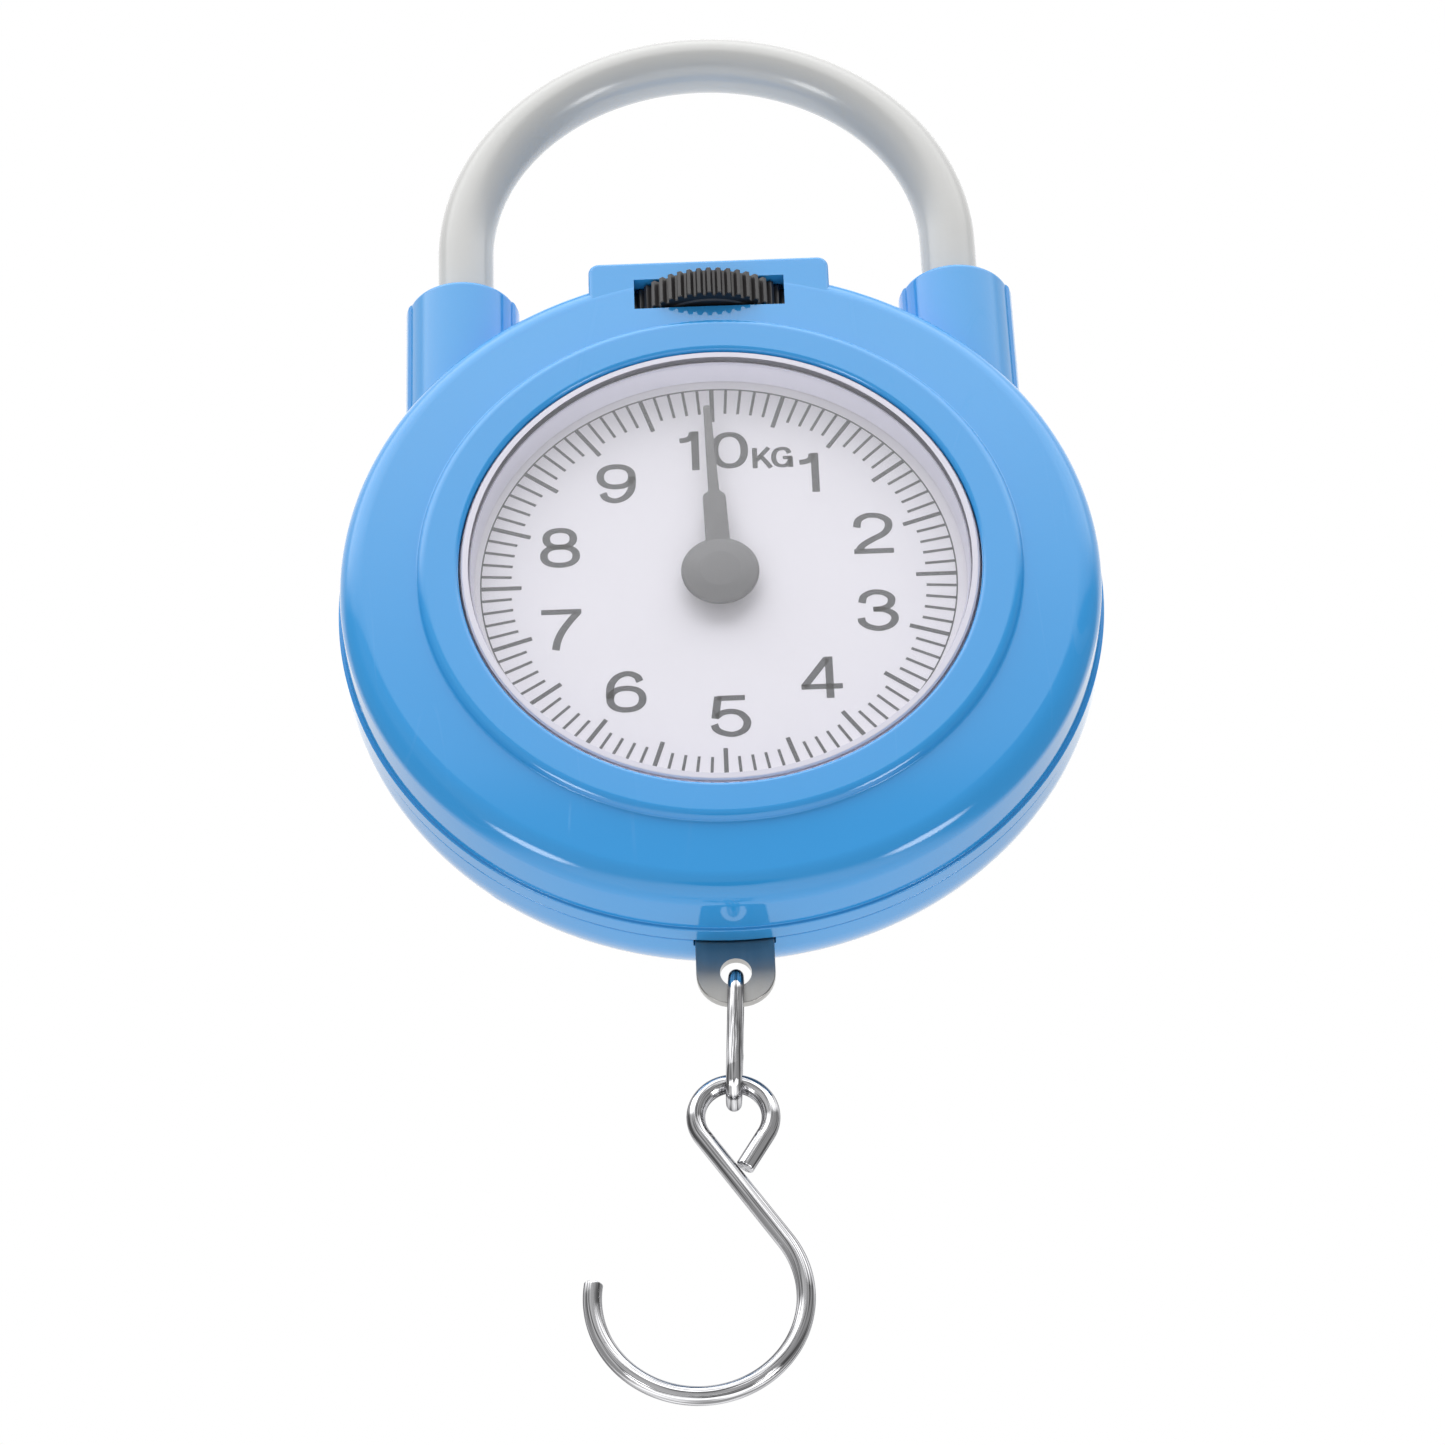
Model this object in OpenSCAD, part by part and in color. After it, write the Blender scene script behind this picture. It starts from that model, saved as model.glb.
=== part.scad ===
// Hanging dial scale with a round case, an arched handle and a wire hook.
// Frame: +Z up, +X to the right, -Y towards the reader of the dial. The parting plane of the
// case is y = 0. The origin is the inside top of the handle, where the scale hangs.
// Most parts are drawn around the dial's centre and then lowered by at_dial().

/* [Case] */
// Diameter of the case at its parting line
case_d = 90.7; // [88:0.1:92]
// Depth of the front shell, from the parting line to the bezel ring
front_depth = 11; // [10.8:0.1:11.4]
// Depth of the back shell, from the parting line to the back face
back_depth = 12; // [12:0.1:13]
// Wall thickness of both shells
wall = 1.8; // [1.6:0.1:2]
// Outer diameter of the raised bezel ring
bezel_d = 70.4; // [69:0.1:71]
// Diameter of the dial window's hole
window_d = 61.3; // [61:0.1:62]

/* [Handle] */
// Distance between the two legs of the handle, centre to centre
handle_w = 60.4; // [60:0.1:61]
// Outer diameter of the handle tube
tube_d = 6.9; // [6.6:0.1:7.2]
// Height of the arch's centre above the dial's centre
arch_z = 54.6; // [50:0.1:60]
// Distance between the two bosses that hold the legs, centre to centre
boss_w = 61.2; // [60.4:0.1:61.6]
// Top of the two handle bosses above the dial's centre
boss_top = 46; // [44:0.2:48]

/* [Zero adjuster] */
// Diameter of the knurled wheel over its ribs
wheel_d = 22; // [21.6:0.1:22.2]
// Thickness of the knurled wheel
wheel_h = 4.1; // [3.6:0.1:4.1]
// Number of ribs on the wheel
wheel_ribs = 56; // [48:1:60]
// Width of the tab that houses the wheel
tab_w = 29.4; // [28:0.2:31]
// Top of the tab above the dial's centre
tab_top = 45.3; // [45.2:0.1:46]

/* [Movement] */
// Gear module of the rack and pinion
gear_module = 0.5; // [0.48:0.01:0.5]
// Teeth on the pinion, one turn of which is the full load
pinion_teeth = 14; // [13:1:14]
// Angle by which the unloaded pointer stands short of the zero mark
pointer_rest = 2; // [0:0.5:5]
// Mean coil diameter of the two load springs
coil_d = 7.2; // [6.8:0.1:7.4]
// Wire diameter of the load springs
coil_wire = 1.2; // [1:0.1:1.2]
// Number of coils in each load spring
coil_turns = 18; // [14:1:20]

/* [Hook] */
// Wire diameter of the hook
hook_wire = 2.1; // [1.8:0.1:2.2]
// Centreline radius of the hook's eye
eye_r = 4.18; // [4:0.02:4.4]
// Centreline radius of the hook's open bend
bend_r = 11.6; // [11:0.1:12]
// Wire diameter of the link
link_wire = 1.8; // [1.6:0.1:1.9]

/* [Hidden] */
$fn = 96;

// Case
case_r = case_d / 2;
lip_h = 2.4;                        // depth of the proud lip behind the parting line
body_r = case_r - 0.4;              // front shell in front of its lip
edge_r = 3;                         // rounding of the front shell's outer edge
annulus_f = front_depth - 1.15;     // front plane of the flat ring round the bezel
back_edge_r = back_depth - 2.3;     // rounding of the back shell's outer edge
inner_r = case_r - 2.2;             // inside of the side walls
window_r = window_d / 2;
bezel_r = bezel_d / 2;
skirt_r = 33.6;                     // outside of the ring that holds the lens
far = 60;                           // half the size of a cutting block

// Dial, lens and movement depths, counted forward of the parting plane
dial_f = 5.9;
dial_t = 0.6;
dial_r = 31.8;
lens_f = front_depth - 0.1;
lens_t = 1.4;
lens_inner_r = 29.2;
chassis_t = 0.8;
chassis_back_f = dial_f - dial_t - chassis_t;
chassis_r = 36.2;

// Handle
hang_drop = arch_z + handle_w / 2 - tube_d / 2;
leg_x = handle_w / 2;
tube_r = tube_d / 2;
core_r = 1.25;
boss_x = boss_w / 2;
boss_r = 6.7;
boss_bottom = 27.5;
ferrule_r = 4;
ferrule_h = 2.2;
ferrule_z = 28.6;
tube_bottom = 31;

// Zero adjuster
wheel_r = wheel_d / 2;
wheel_y = -1.3;
wheel_z = 38.2;
wheel_slot_w = 18.3;
thread_r = 2;
tab_corner = 2;
shelf_t = 1.7;
washer_t = 0.5;
shelf_top = wheel_z - 0.1 - washer_t;

// Movement
pitch_r = gear_module * pinion_teeth / 2;
pressure = 20;
backlash = 0.12;
shaft_r = 1;
bush_gap = 0.03;
gear_front = 2.1;                   // front of the gear teeth, forward of the parting plane
pillar_x = 9.4;
pillar_z = 8.6;
pillar_r = 1.3;
bridge_y = 2.6;
bridge_t = 1;
post_angles = [0, 180, 310, 230];   // posts that hold the chassis plate
post_ring = 34.2;
screw_angles = [28, 152, 215, 325]; // posts that hold the two shells together
screw_ring = 38.5;

// Pull plate, link and hook
plate_y = 0.1;
plate_t = 1;
plate_mid = plate_y + plate_t / 2;
plate_w = 9;
plate_bottom = -53.3;
hole_z = -49.3;
hole_r = 1.8;
spring_x = 16;
bar_z = -12.75;
yoke_z = 32.5;
link_r = link_wire / 2;
link_bend = 2.8;
link_top = hole_z - hole_r + link_r + 0.15;
link_span = 15.35;
link_tilt = 3;
hook_r = hook_wire / 2;
eye_c = [-0.93, -67.43];
bend_c = [-5.4, -89.2];
hook_tip_angle = 170;
eye_end_angle = -31.9;
eye_end_len = 4.75;

function arc(cx, cy, r, a0, a1, n = 12) =
    [for (i = [0:n]) let (a = a0 + (a1 - a0) * i / n) [cx + r * cos(a), cy + r * sin(a)]];

// Outline of a rectangle with rounded corners, centred on cx and standing on z0
function rounded_box(w, z0, z1, r) = concat(
    arc(w / 2 - r, z1 - r, r, 0, 90, 6), arc(-w / 2 + r, z1 - r, r, 90, 180, 6),
    [[-w / 2, z0], [w / 2, z0]]);

module at_dial() translate([0, 0, -hang_drop]) children();

// Stands a profile drawn as [radius, distance forward] round the dial's axis
module turned_front() rotate([90, 0, 0]) rotate_extrude() children();
module turned_back() rotate([-90, 0, 0]) rotate_extrude() children();

// Disc or hole along Y from y0 to y1
module along_y(r, y0, y1, x = 0, z = 0)
    translate([x, y0, z]) rotate([-90, 0, 0]) cylinder(r = r, h = y1 - y0);

// Plate in the XZ plane, from y0 to y1
module plate_xz(y0, y1)
    translate([0, y1, 0]) rotate([90, 0, 0]) linear_extrude(y1 - y0) children();

module front_half() intersection() {
    children();
    translate([-far, -far, -far]) cube([2 * far, far, 2 * far]);
}

module back_half() intersection() {
    children();
    translate([-far, 0, -far]) cube([2 * far, far, 2 * far]);
}

module round_posts(ring, angles, r, y0, y1) {
    for (a = angles) along_y(r, y0, y1, ring * cos(a), ring * sin(a));
}

// ---- case shells ----

module front_case_solid() turned_front() polygon(concat(
    [[0, 0], [case_r - 0.2, 0], [case_r, 0.2], [case_r, lip_h - 0.15], [case_r - 0.15, lip_h],
     [body_r, lip_h]],
    arc(body_r - 0.2 - edge_r, annulus_f - edge_r, edge_r, 3, 87),
    [[bezel_r + 0.55, annulus_f + 0.3]],
    arc(bezel_r - 1.1, front_depth - 1.1, 1.1, 12, 90, 8),
    arc(window_r + 0.6, front_depth - 0.6, 0.6, 90, 180, 6),
    [[window_r, front_depth - 2], [0, front_depth - 2]]));

module front_case_hollow() turned_front() polygon(concat(
    [[0, -1], [inner_r, -1], [inner_r, lip_h]],
    arc(body_r - 0.2 - edge_r, annulus_f - edge_r, edge_r - wall, 3, 87, 6),
    [[0, annulus_f - wall]]));

module lens_holder() turned_front() polygon([
    [window_r, dial_f + 1.5], [window_r, front_depth - 1.9], [skirt_r, front_depth - 1.9],
    [skirt_r, dial_f + 0.1], [dial_r + 0.2, dial_f + 0.1], [dial_r + 0.2, dial_f + 1.5]]);

// One leg's boss, a round post with a rounded top edge
module boss(r, sx) translate([sx * boss_x, 0, boss_bottom]) rotate_extrude() polygon(concat(
    [[0, 0], [r, 0]], arc(r - 0.7, boss_top - boss_bottom - 0.7, 0.7, 0, 90, 6),
    [[0, boss_top - boss_bottom]]));

module tab(grow, y0, y1) plate_xz(y0, y1)
    polygon(rounded_box(tab_w + 2 * grow, 34, tab_top + grow, tab_corner));

module tab_hollow(y0, y1) plate_xz(y0, y1)
    polygon(rounded_box(tab_w - 2 * wall, 30, tab_top - wall, 0.6));

module shelf(y0, y1) translate([1.1 - tab_w / 2 + wall, y0, shelf_top - shelf_t])
    cube([tab_w - 2 * wall - 2.2, y1 - y0, shelf_t]);

// Bores for the tube and the ferrule of each leg, and the hole for the adjusting screw
module handle_bores() {
    for (sx = [-1, 1]) {
        translate([sx * leg_x, 0, tube_bottom]) cylinder(r = tube_r, h = 30);
        translate([sx * leg_x, 0, ferrule_z - 0.2])
            cylinder(r = ferrule_r + 0.2, h = tube_bottom - ferrule_z + 0.2);
    }
}

module adjuster_hole() translate([0, wheel_y, 30]) cylinder(r = thread_r + 0.5, h = 8.5);

module front_shell() color("dodgerblue") at_dial() difference() {
    union() {
        difference() {
            union() {
                front_case_solid();
                tab(0, -annulus_f, 0);
                tab(0.4, -lip_h, 0);
            }
            front_case_hollow();
            tab_hollow(-annulus_f + wall, 1);
        }
        front_half() {
            boss(boss_r, -1);
            boss(boss_r, 1);
        }
        intersection() {
            union() {
                boss(boss_r + 0.35, -1);
                boss(boss_r + 0.35, 1);
            }
            translate([-far, -lip_h, 0]) cube([2 * far, lip_h, far]);
        }
        lens_holder();
        round_posts(post_ring, post_angles, 2.1, -annulus_f + wall - 0.2, -chassis_back_f - chassis_t);
        round_posts(screw_ring, screw_angles, 3, -annulus_f + wall - 0.2, 0);
        shelf(-annulus_f + wall - 0.2, 0);
    }
    along_y(window_r, -front_depth - 1, -dial_f - 1.5);
    handle_bores();
    adjuster_hole();
    translate([-wheel_slot_w / 2, -annulus_f - 1, wheel_z - 0.3])
        cube([wheel_slot_w, wall + 2, wheel_h + 0.5]);
    round_posts(post_ring, post_angles, 0.9, -annulus_f + wall + 0.2, 0);
    round_posts(screw_ring, screw_angles, 1.15, -annulus_f + wall + 0.4, 1);
}

module back_profile(r0, edge, top) polygon(concat(
    [[0, 0], [r0, 0]],
    arc(case_r - 0.15 - back_edge_r, back_depth - back_edge_r, edge, 0, 90, 14),
    [[0, top]]));

module back_shell() color("dodgerblue") at_dial() difference() {
    union() {
        difference() {
            union() {
                turned_back() back_profile(case_r - 0.15, back_edge_r, back_depth);
                tab(0, 0, back_depth);
            }
            turned_back() back_profile(inner_r + 0.25, back_edge_r - wall, back_depth - wall);
            tab_hollow(-1, back_depth - wall);
        }
        back_half() {
            boss(boss_r, -1);
            boss(boss_r, 1);
        }
        intersection() {
            round_posts(screw_ring, screw_angles, 3.6, 0, back_depth);
            turned_back() back_profile(case_r - 0.4, back_edge_r - 0.25, back_depth - 0.25);
        }
        shelf(0, back_depth - wall + 0.2);
    }
    handle_bores();
    adjuster_hole();
    round_posts(screw_ring, screw_angles, 1.4, -1, back_depth);
    round_posts(screw_ring, screw_angles, 2.8, 6.2, back_depth + 1);
    translate([-plate_w / 2 - 0.3, -1, -case_r - 1]) cube([plate_w + 0.6, plate_y + plate_t + 1.2, 5]);
}

module case_screws() color("silver") at_dial() for (a = screw_angles)
    translate([screw_ring * cos(a), 0, screw_ring * sin(a)]) difference() {
        union() {
            along_y(1.1, -6.5, 6.2);
            along_y(2.4, 6.2, 7.6);
        }
        translate([-1.6, 7, -0.3]) cube([3.2, 1, 0.6]);
        translate([-0.3, 7, -1.6]) cube([0.6, 1, 3.2]);
    }

// ---- lens and dial ----

module lens() color("aliceblue", 0.4) at_dial() turned_front() polygon(concat(
    [[0, lens_f - lens_t], [lens_inner_r, lens_f - lens_t], [lens_inner_r, dial_f + 0.05],
     [dial_r, dial_f + 0.05], [dial_r, dial_f + 1.4], [window_r - 0.1, dial_f + 1.4]],
    arc(window_r - 0.6, lens_f - 0.5, 0.5, 0, 90, 5),
    [[0, lens_f]]));

module dial_plate() color("gainsboro") at_dial() difference() {
    along_y(dial_r, -dial_f, -dial_f + dial_t);
    along_y(2, -dial_f - 1, -dial_f + dial_t + 1);
}

module pointer() color("dimgray") at_dial() rotate([0, -pointer_rest, 0]) difference() {
    union() {
        turned_front() polygon(concat(
            [[0, 6.5], [1.9, 6.5], [1.9, 7.6], [4.6, 7.6], [4.6, 8]],
            arc(0, -13.3, 21.8, 78, 90, 8)));
        plate_xz(-8.2, -7.7) polygon([[-1.35, 0], [-1.35, 10.4], [-0.6, 11.6], [-0.5, 23.6],
            [-0.2, 24], [0.2, 24], [0.5, 23.6], [0.6, 11.6], [1.35, 10.4], [1.35, 0]]);
    }
    along_y(shaft_r, -8, -6);
}

// ---- movement ----

module pointer_shaft() color("silver") at_dial() along_y(shaft_r, -8, 4.2);

module shaft_clip() color("silver") at_dial() difference() {
    along_y(2.2, -3.5, -3.1);
    along_y(shaft_r, -4, -2);
    translate([-0.6, -4, -3]) cube([1.2, 2, 3]);
}

// Involute flank of the pinion, as the point where the unwound string has turned by t degrees
function involute(rb, t) = let (u = t * PI / 180)
    [rb * (cos(t) + u * sin(t)), rb * (sin(t) - u * cos(t))];
function turn(p, a) = [p[0] * cos(a) - p[1] * sin(a), p[0] * sin(a) + p[1] * cos(a)];

module pinion_outline() {
    base_r = pitch_r * cos(pressure);
    tip_r = pitch_r + 0.42;
    root_r = pitch_r - 0.62;
    t_pitch = sqrt(pow(pitch_r / base_r, 2) - 1) * 180 / PI;
    t_tip = sqrt(pow(tip_r / base_r, 2) - 1) * 180 / PI;
    thick = 90 / pinion_teeth - backlash / 2 / pitch_r * 180 / PI;
    half = thick + t_pitch - pressure;
    flank = [for (i = [0:5]) turn(involute(base_r, t_tip * i / 5), -half)];
    polygon([for (k = [0:pinion_teeth - 1]) let (a = 360 * k / pinion_teeth) each concat(
        [turn([root_r, 0], a - half)],
        [for (p = flank) turn(p, a)],
        [for (i = [5:-1:0]) turn([flank[i][0], -flank[i][1]], a)],
        [turn([root_r, 0], a + half)])]);
}

// Turned by half a tooth, so that a gap faces the rack's tooth at the height of the shaft
module pinion() color("goldenrod") at_dial() rotate([0, -180 / pinion_teeth, 0]) difference() {
    union() {
        plate_xz(-gear_front, -gear_front + 2.4) pinion_outline();
        along_y(2.2, -gear_front + 2.4, 1.5);
    }
    along_y(shaft_r, -gear_front - 1, 2);
}

module front_bush() color("goldenrod") at_dial() difference() {
    union() {
        along_y(2.2, -chassis_back_f - chassis_t, -chassis_back_f);
        along_y(3.2, -chassis_back_f, -chassis_back_f + 0.6);
    }
    along_y(shaft_r + bush_gap, -8, 0);
}

module rear_bush() color("goldenrod") at_dial() difference() {
    union() {
        along_y(2.8, bridge_y - 0.4, bridge_y);
        along_y(2, bridge_y, bridge_y + bridge_t + 0.2);
    }
    along_y(shaft_r + bush_gap, 0, 6);
}

module chassis_plate() color("lightgray") at_dial() difference() {
    along_y(chassis_r, -chassis_back_f - chassis_t, -chassis_back_f);
    along_y(2.2, -8, 0);
    round_posts(post_ring, post_angles, 1.1, -8, 0);
    round_posts(screw_ring, screw_angles, 3.4, -8, 0);
    translate([-25, -8, 29.5]) cube([50, 8, 20]);
}

module chassis_screws() color("silver") at_dial() for (a = post_angles)
    translate([post_ring * cos(a), 0, post_ring * sin(a)]) difference() {
        union() {
            along_y(0.85, -7.4, -chassis_back_f);
            along_y(1.8, -chassis_back_f, -chassis_back_f + 1.1);
        }
        translate([-2, -chassis_back_f + 0.6, -0.25]) cube([4, 1, 0.5]);
    }

module at_pillars() for (x = [-pillar_x, pillar_x], z = [-pillar_z, pillar_z])
    translate([x, 0, z]) children();

module bridge_pillars() color("silver") at_dial() at_pillars() difference() {
    along_y(pillar_r, -chassis_back_f, bridge_y);
    along_y(0.75, -1, bridge_y + 1);
}

module bridge() color("lightgray") at_dial() difference() {
    plate_xz(bridge_y, bridge_y + bridge_t) polygon(concat(
        arc(8.9, 8.4, 2, 0, 90, 6), arc(-8.9, 8.4, 2, 90, 180, 6),
        arc(-8.9, -8.4, 2, 180, 270, 6), arc(8.9, -8.4, 2, 270, 360, 6)));
    along_y(2, 0, 6);
    at_pillars() along_y(0.9, 0, 6);
    for (x = [-6, 6]) along_y(2, 0, 6, x, 0);
}

module bridge_screws() color("silver") at_dial() at_pillars() difference() {
    union() {
        along_y(0.7, -0.6, bridge_y + bridge_t);
        along_y(1.5, bridge_y + bridge_t, bridge_y + bridge_t + 0.9);
    }
    translate([-2, bridge_y + bridge_t + 0.5, -0.2]) cube([4, 1, 0.4]);
}

// ---- parts that move with the load ----

rack_low = -4.5;
rack_high = 27;

module rack() color("goldenrod") at_dial() difference() {
    plate_xz(plate_y - 2, plate_y) {
        tooth = PI * gear_module;
        first = ceil(rack_low / tooth);
        last = floor((rack_high - 1) / tooth);
        tip = 0.42;
        root = 0.62;
        half = tooth / 4 - backlash / 2;
        polygon(concat(
            [[7.6, rack_high], [pitch_r + root, rack_high]],
            [for (k = [last:-1:first]) let (z = k * tooth) each [
                [pitch_r + root, z + half + root * tan(pressure)],
                [pitch_r - tip, z + half - tip * tan(pressure)],
                [pitch_r - tip, z - half + tip * tan(pressure)],
                [pitch_r + root, z - half - root * tan(pressure)]]],
            [[pitch_r + root, bar_z + 2.25], [2.5, bar_z + 2.25], [2.5, bar_z - 2.25],
             [11.5, bar_z - 2.25], [11.5, bar_z + 2.25], [7.6, bar_z + 2.25]]));
    }
    for (x = [4.2, 9.8]) along_y(1, -4, 2, x, bar_z);
}

module rack_rivets() color("silver") at_dial() for (x = [4.2, 9.8]) {
    along_y(1, plate_y - 2, plate_y + plate_t, x, bar_z);
    along_y(1.6, plate_y - 2.6, plate_y - 2, x, bar_z);
    along_y(1.6, plate_y + plate_t, plate_y + plate_t + 0.6, x, bar_z);
}

module pull_plate() color("lightslategray") at_dial() difference() {
    plate_xz(plate_y, plate_y + plate_t) polygon(concat(
        arc(17, bar_z + 1.25, 1, 0, 90, 5), arc(-17, bar_z + 1.25, 1, 90, 180, 5),
        arc(-17, bar_z - 1.25, 1, 180, 270, 5),
        [[-plate_w / 2 - 2, bar_z - 2.25], [-plate_w / 2, bar_z - 4.25]],
        arc(-plate_w / 2 + 4, plate_bottom + 4, 4, 180, 270, 12),
        arc(plate_w / 2 - 4, plate_bottom + 4, 4, 270, 360, 12),
        [[plate_w / 2, bar_z - 4.25], [plate_w / 2 + 2, bar_z - 2.25]],
        arc(17, bar_z - 1.25, 1, 270, 360, 5)));
    along_y(hole_r, -1, 3, 0, hole_z);
    for (x = [4.2, 9.8]) along_y(1, -1, 3, x, bar_z);
    for (x = [-spring_x, spring_x]) along_y(1.1, -1, 3, x, bar_z);
}

module rack_guide() color("white") at_dial() translate([7.75, -chassis_back_f, -4])
    cube([3.1, chassis_back_f + 1.2, 8]);

module plate_guide() color("white") at_dial() difference() {
    translate([-7.5, -1.7, -41.9]) cube([15, 4.6, 2.2]);
    translate([-plate_w / 2 - 0.1, plate_y - 0.1, -44]) cube([plate_w + 0.2, plate_t + 0.2, 6]);
}

// Centreline of a load spring round x = 0: an eye in the YZ plane at each end and the coils between.
// eye_z is the height of the wire where it passes through the hole of the plate that holds it.
loop_r = 2.4;
loop_steps = 12;
coil_steps = 10;
coil_top = yoke_z - 2 * loop_r - 2.2;
coil_pitch = coil_wire * 1.04;
coil_bottom = coil_top - coil_turns * coil_pitch;

function spring_path() = concat(
    [for (i = [0:loop_steps]) let (a = -60 + 330 * i / loop_steps)
        [0, loop_r * cos(a), yoke_z - loop_r + loop_r * sin(a)]],
    [[0.4, 0, yoke_z - 2 * loop_r - 0.9]],
    [for (i = [0:coil_steps * coil_turns]) let (a = 360 * i / coil_steps)
        [coil_d / 2 * cos(a), coil_d / 2 * sin(a), coil_top - coil_pitch * i / coil_steps]],
    [[0.4, 0, coil_bottom - 1.6]],
    [for (z = [coil_bottom - 3:-4:bar_z + 2 * loop_r + 2]) [0, 0, z]],
    [for (i = [0:loop_steps]) let (a = 90 - 330 * i / loop_steps)
        [0, loop_r * cos(a), bar_z + loop_r + loop_r * sin(a)]]);

// Direction that one side of the wire faces: outward on the coils, sideways on the eyes
function spring_side(p) = norm([p[0], p[1]]) > coil_d / 2 - 0.2 && abs(p[0]) > 0.01
    ? [p[0], p[1], 0] / norm([p[0], p[1]]) : [1, 0, 0];

module wire_sweep(path, r, sides = 6) {
    n = len(path);
    rings = [for (i = [0:n - 1]) let (
        t0 = path[min(i + 1, n - 1)] - path[max(i - 1, 0)],
        t = t0 / norm(t0),
        s0 = spring_side(path[i]),
        s1 = s0 - (s0 * t) * t,
        s = s1 / norm(s1),
        b = cross(t, s))
        each [for (k = [0:sides - 1]) let (a = 360 * k / sides)
            path[i] + r * cos(a) * s + r * sin(a) * b]];
    polyhedron(rings, concat(
        [[for (k = [0:sides - 1]) k]],
        [for (i = [0:n - 2], k = [0:sides - 1]) let (a = i * sides + k, b = i * sides + (k + 1) % sides)
            each [[a, a + sides, b + sides], [a, b + sides, b]]],
        [[for (k = [sides - 1:-1:0]) (n - 1) * sides + k]]));
}

module load_spring(x) translate([x, plate_mid, 0]) wire_sweep(spring_path(), coil_wire / 2);

module spring_left() color("silver") at_dial() load_spring(-spring_x);

module spring_right() color("silver") at_dial() load_spring(spring_x);

// ---- zero adjuster ----

module yoke() color("silver") at_dial() difference() {
    union() {
        plate_xz(plate_y, plate_y + plate_t) polygon(concat(
            arc(18, yoke_z + 1.1, 1, 0, 90, 5), arc(-18, yoke_z + 1.1, 1, 90, 180, 5),
            arc(-18, yoke_z - 1.1, 1, 180, 270, 5), arc(18, yoke_z - 1.1, 1, 270, 360, 5)));
        translate([0, wheel_y, yoke_z - 2.1]) cylinder(r = 3.2, h = 4.2);
    }
    translate([0, wheel_y, yoke_z - 4]) cylinder(r = thread_r, h = 8);
    for (x = [-spring_x, spring_x]) along_y(1.1, -1, 3, x, yoke_z);
}

module zero_screw() color("silver") at_dial() translate([0, wheel_y, yoke_z - 2.1])
    cylinder(r = thread_r, h = 42.6 - yoke_z + 2.1);

module zero_wheel() color("black") at_dial() translate([0, wheel_y, wheel_z]) difference() {
    union() {
        linear_extrude(wheel_h) polygon([for (k = [0:wheel_ribs * 4 - 1]) let (
            a = 360 * k / wheel_ribs / 4,
            r = wheel_r - [0, 0.12, 0.5, 0.12][k % 4])
            [r * cos(a), r * sin(a)]]);
        cylinder(r = 4, h = wheel_h + 0.9);
    }
    translate([0, 0, -1]) cylinder(r = thread_r + 0.05, h = wheel_h + 3);
}

module wheel_washer() color("silver") at_dial() translate([0, wheel_y, shelf_top]) difference() {
    cylinder(r = 5, h = washer_t);
    translate([0, 0, -1]) cylinder(r = thread_r + 0.3, h = washer_t + 2);
}

// ---- handle ----

module arch(r) {
    translate([0, 0, arch_z]) rotate([90, 0, 0]) rotate_extrude(angle = 180)
        translate([leg_x, 0]) circle(r = r);
}

module legs(r, z0) for (sx = [-1, 1]) translate([sx * leg_x, 0, z0]) cylinder(r = r, h = arch_z - z0);

module handle_tube() color("lightgray") at_dial() difference() {
    union() {
        arch(tube_r);
        legs(tube_r, tube_bottom);
    }
    arch(core_r);
    legs(core_r, tube_bottom - 1);
}

module handle_core() color("silver") at_dial() {
    arch(core_r);
    legs(core_r, ferrule_z);
}

module handle_ferrules() color("silver") at_dial() for (sx = [-1, 1])
    translate([sx * leg_x, 0, ferrule_z]) difference() {
        cylinder(r = ferrule_r, h = ferrule_h);
        translate([0, 0, -1]) cylinder(r = core_r, h = ferrule_h + 2);
    }

// ---- link and hook ----

// Places a piece that is drawn at the wire that bears in the pull plate's hole
module at_link_pivot() translate([0, plate_mid, link_top]) rotate([0, link_tilt, 0]) children();

module wire_arc(c, r, wire_r, a0, a1) translate([c[0], 0, c[1]]) rotate([90, 0, 0])
    rotate([0, 0, a0]) rotate_extrude(angle = a1 - a0) translate([r, 0]) circle(r = wire_r, $fn = 48);

// Straight wire from p to q, a hair thinner than its bends and running a little way into them
module wire_run(p, q, wire_r, into_p = 0.3, into_q = 0.3) {
    d = q - p;
    translate([p[0], 0, p[1]]) rotate([0, 90 - atan2(d[1], d[0]), 0]) translate([0, 0, -into_p])
        cylinder(r = wire_r - 0.02, h = norm(d) + into_p + into_q, $fn = 48);
}

module link() color("silver") at_dial() at_link_pivot() rotate([0, 0, 90]) {
    wire_arc([0, -link_bend], link_bend, link_r, 0, 180);
    wire_arc([0, -link_span + link_bend], link_bend, link_r, 180, 360);
    for (x = [-link_bend, link_bend]) wire_run([x, -link_bend], [x, -link_span + link_bend], link_r);
}

// The straight shank is the inner tangent of the eye's and the bend's circles
hook_d = bend_c - eye_c;
shank_angle = atan2(hook_d[1], hook_d[0]) + asin((eye_r + bend_r) / norm(hook_d));
shank_n = [sin(shank_angle), -cos(shank_angle)];
shank_a = eye_c + eye_r * shank_n;
shank_b = bend_c - bend_r * shank_n;
eye_out = eye_c + eye_r * [cos(eye_end_angle), sin(eye_end_angle)];
eye_dir = [sin(eye_end_angle), -cos(eye_end_angle)];

module hook() color("silver") at_dial() translate([0, plate_mid, 0]) {
    wire_arc(eye_c, eye_r, hook_r, eye_end_angle, shank_angle + 270);
    wire_run(eye_out, eye_out + eye_end_len * eye_dir, hook_r, 0.3, 0);
    wire_run(shank_a, shank_b, hook_r);
    wire_arc(bend_c, bend_r, hook_r, hook_tip_angle - 360, shank_angle + 90);
}

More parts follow.
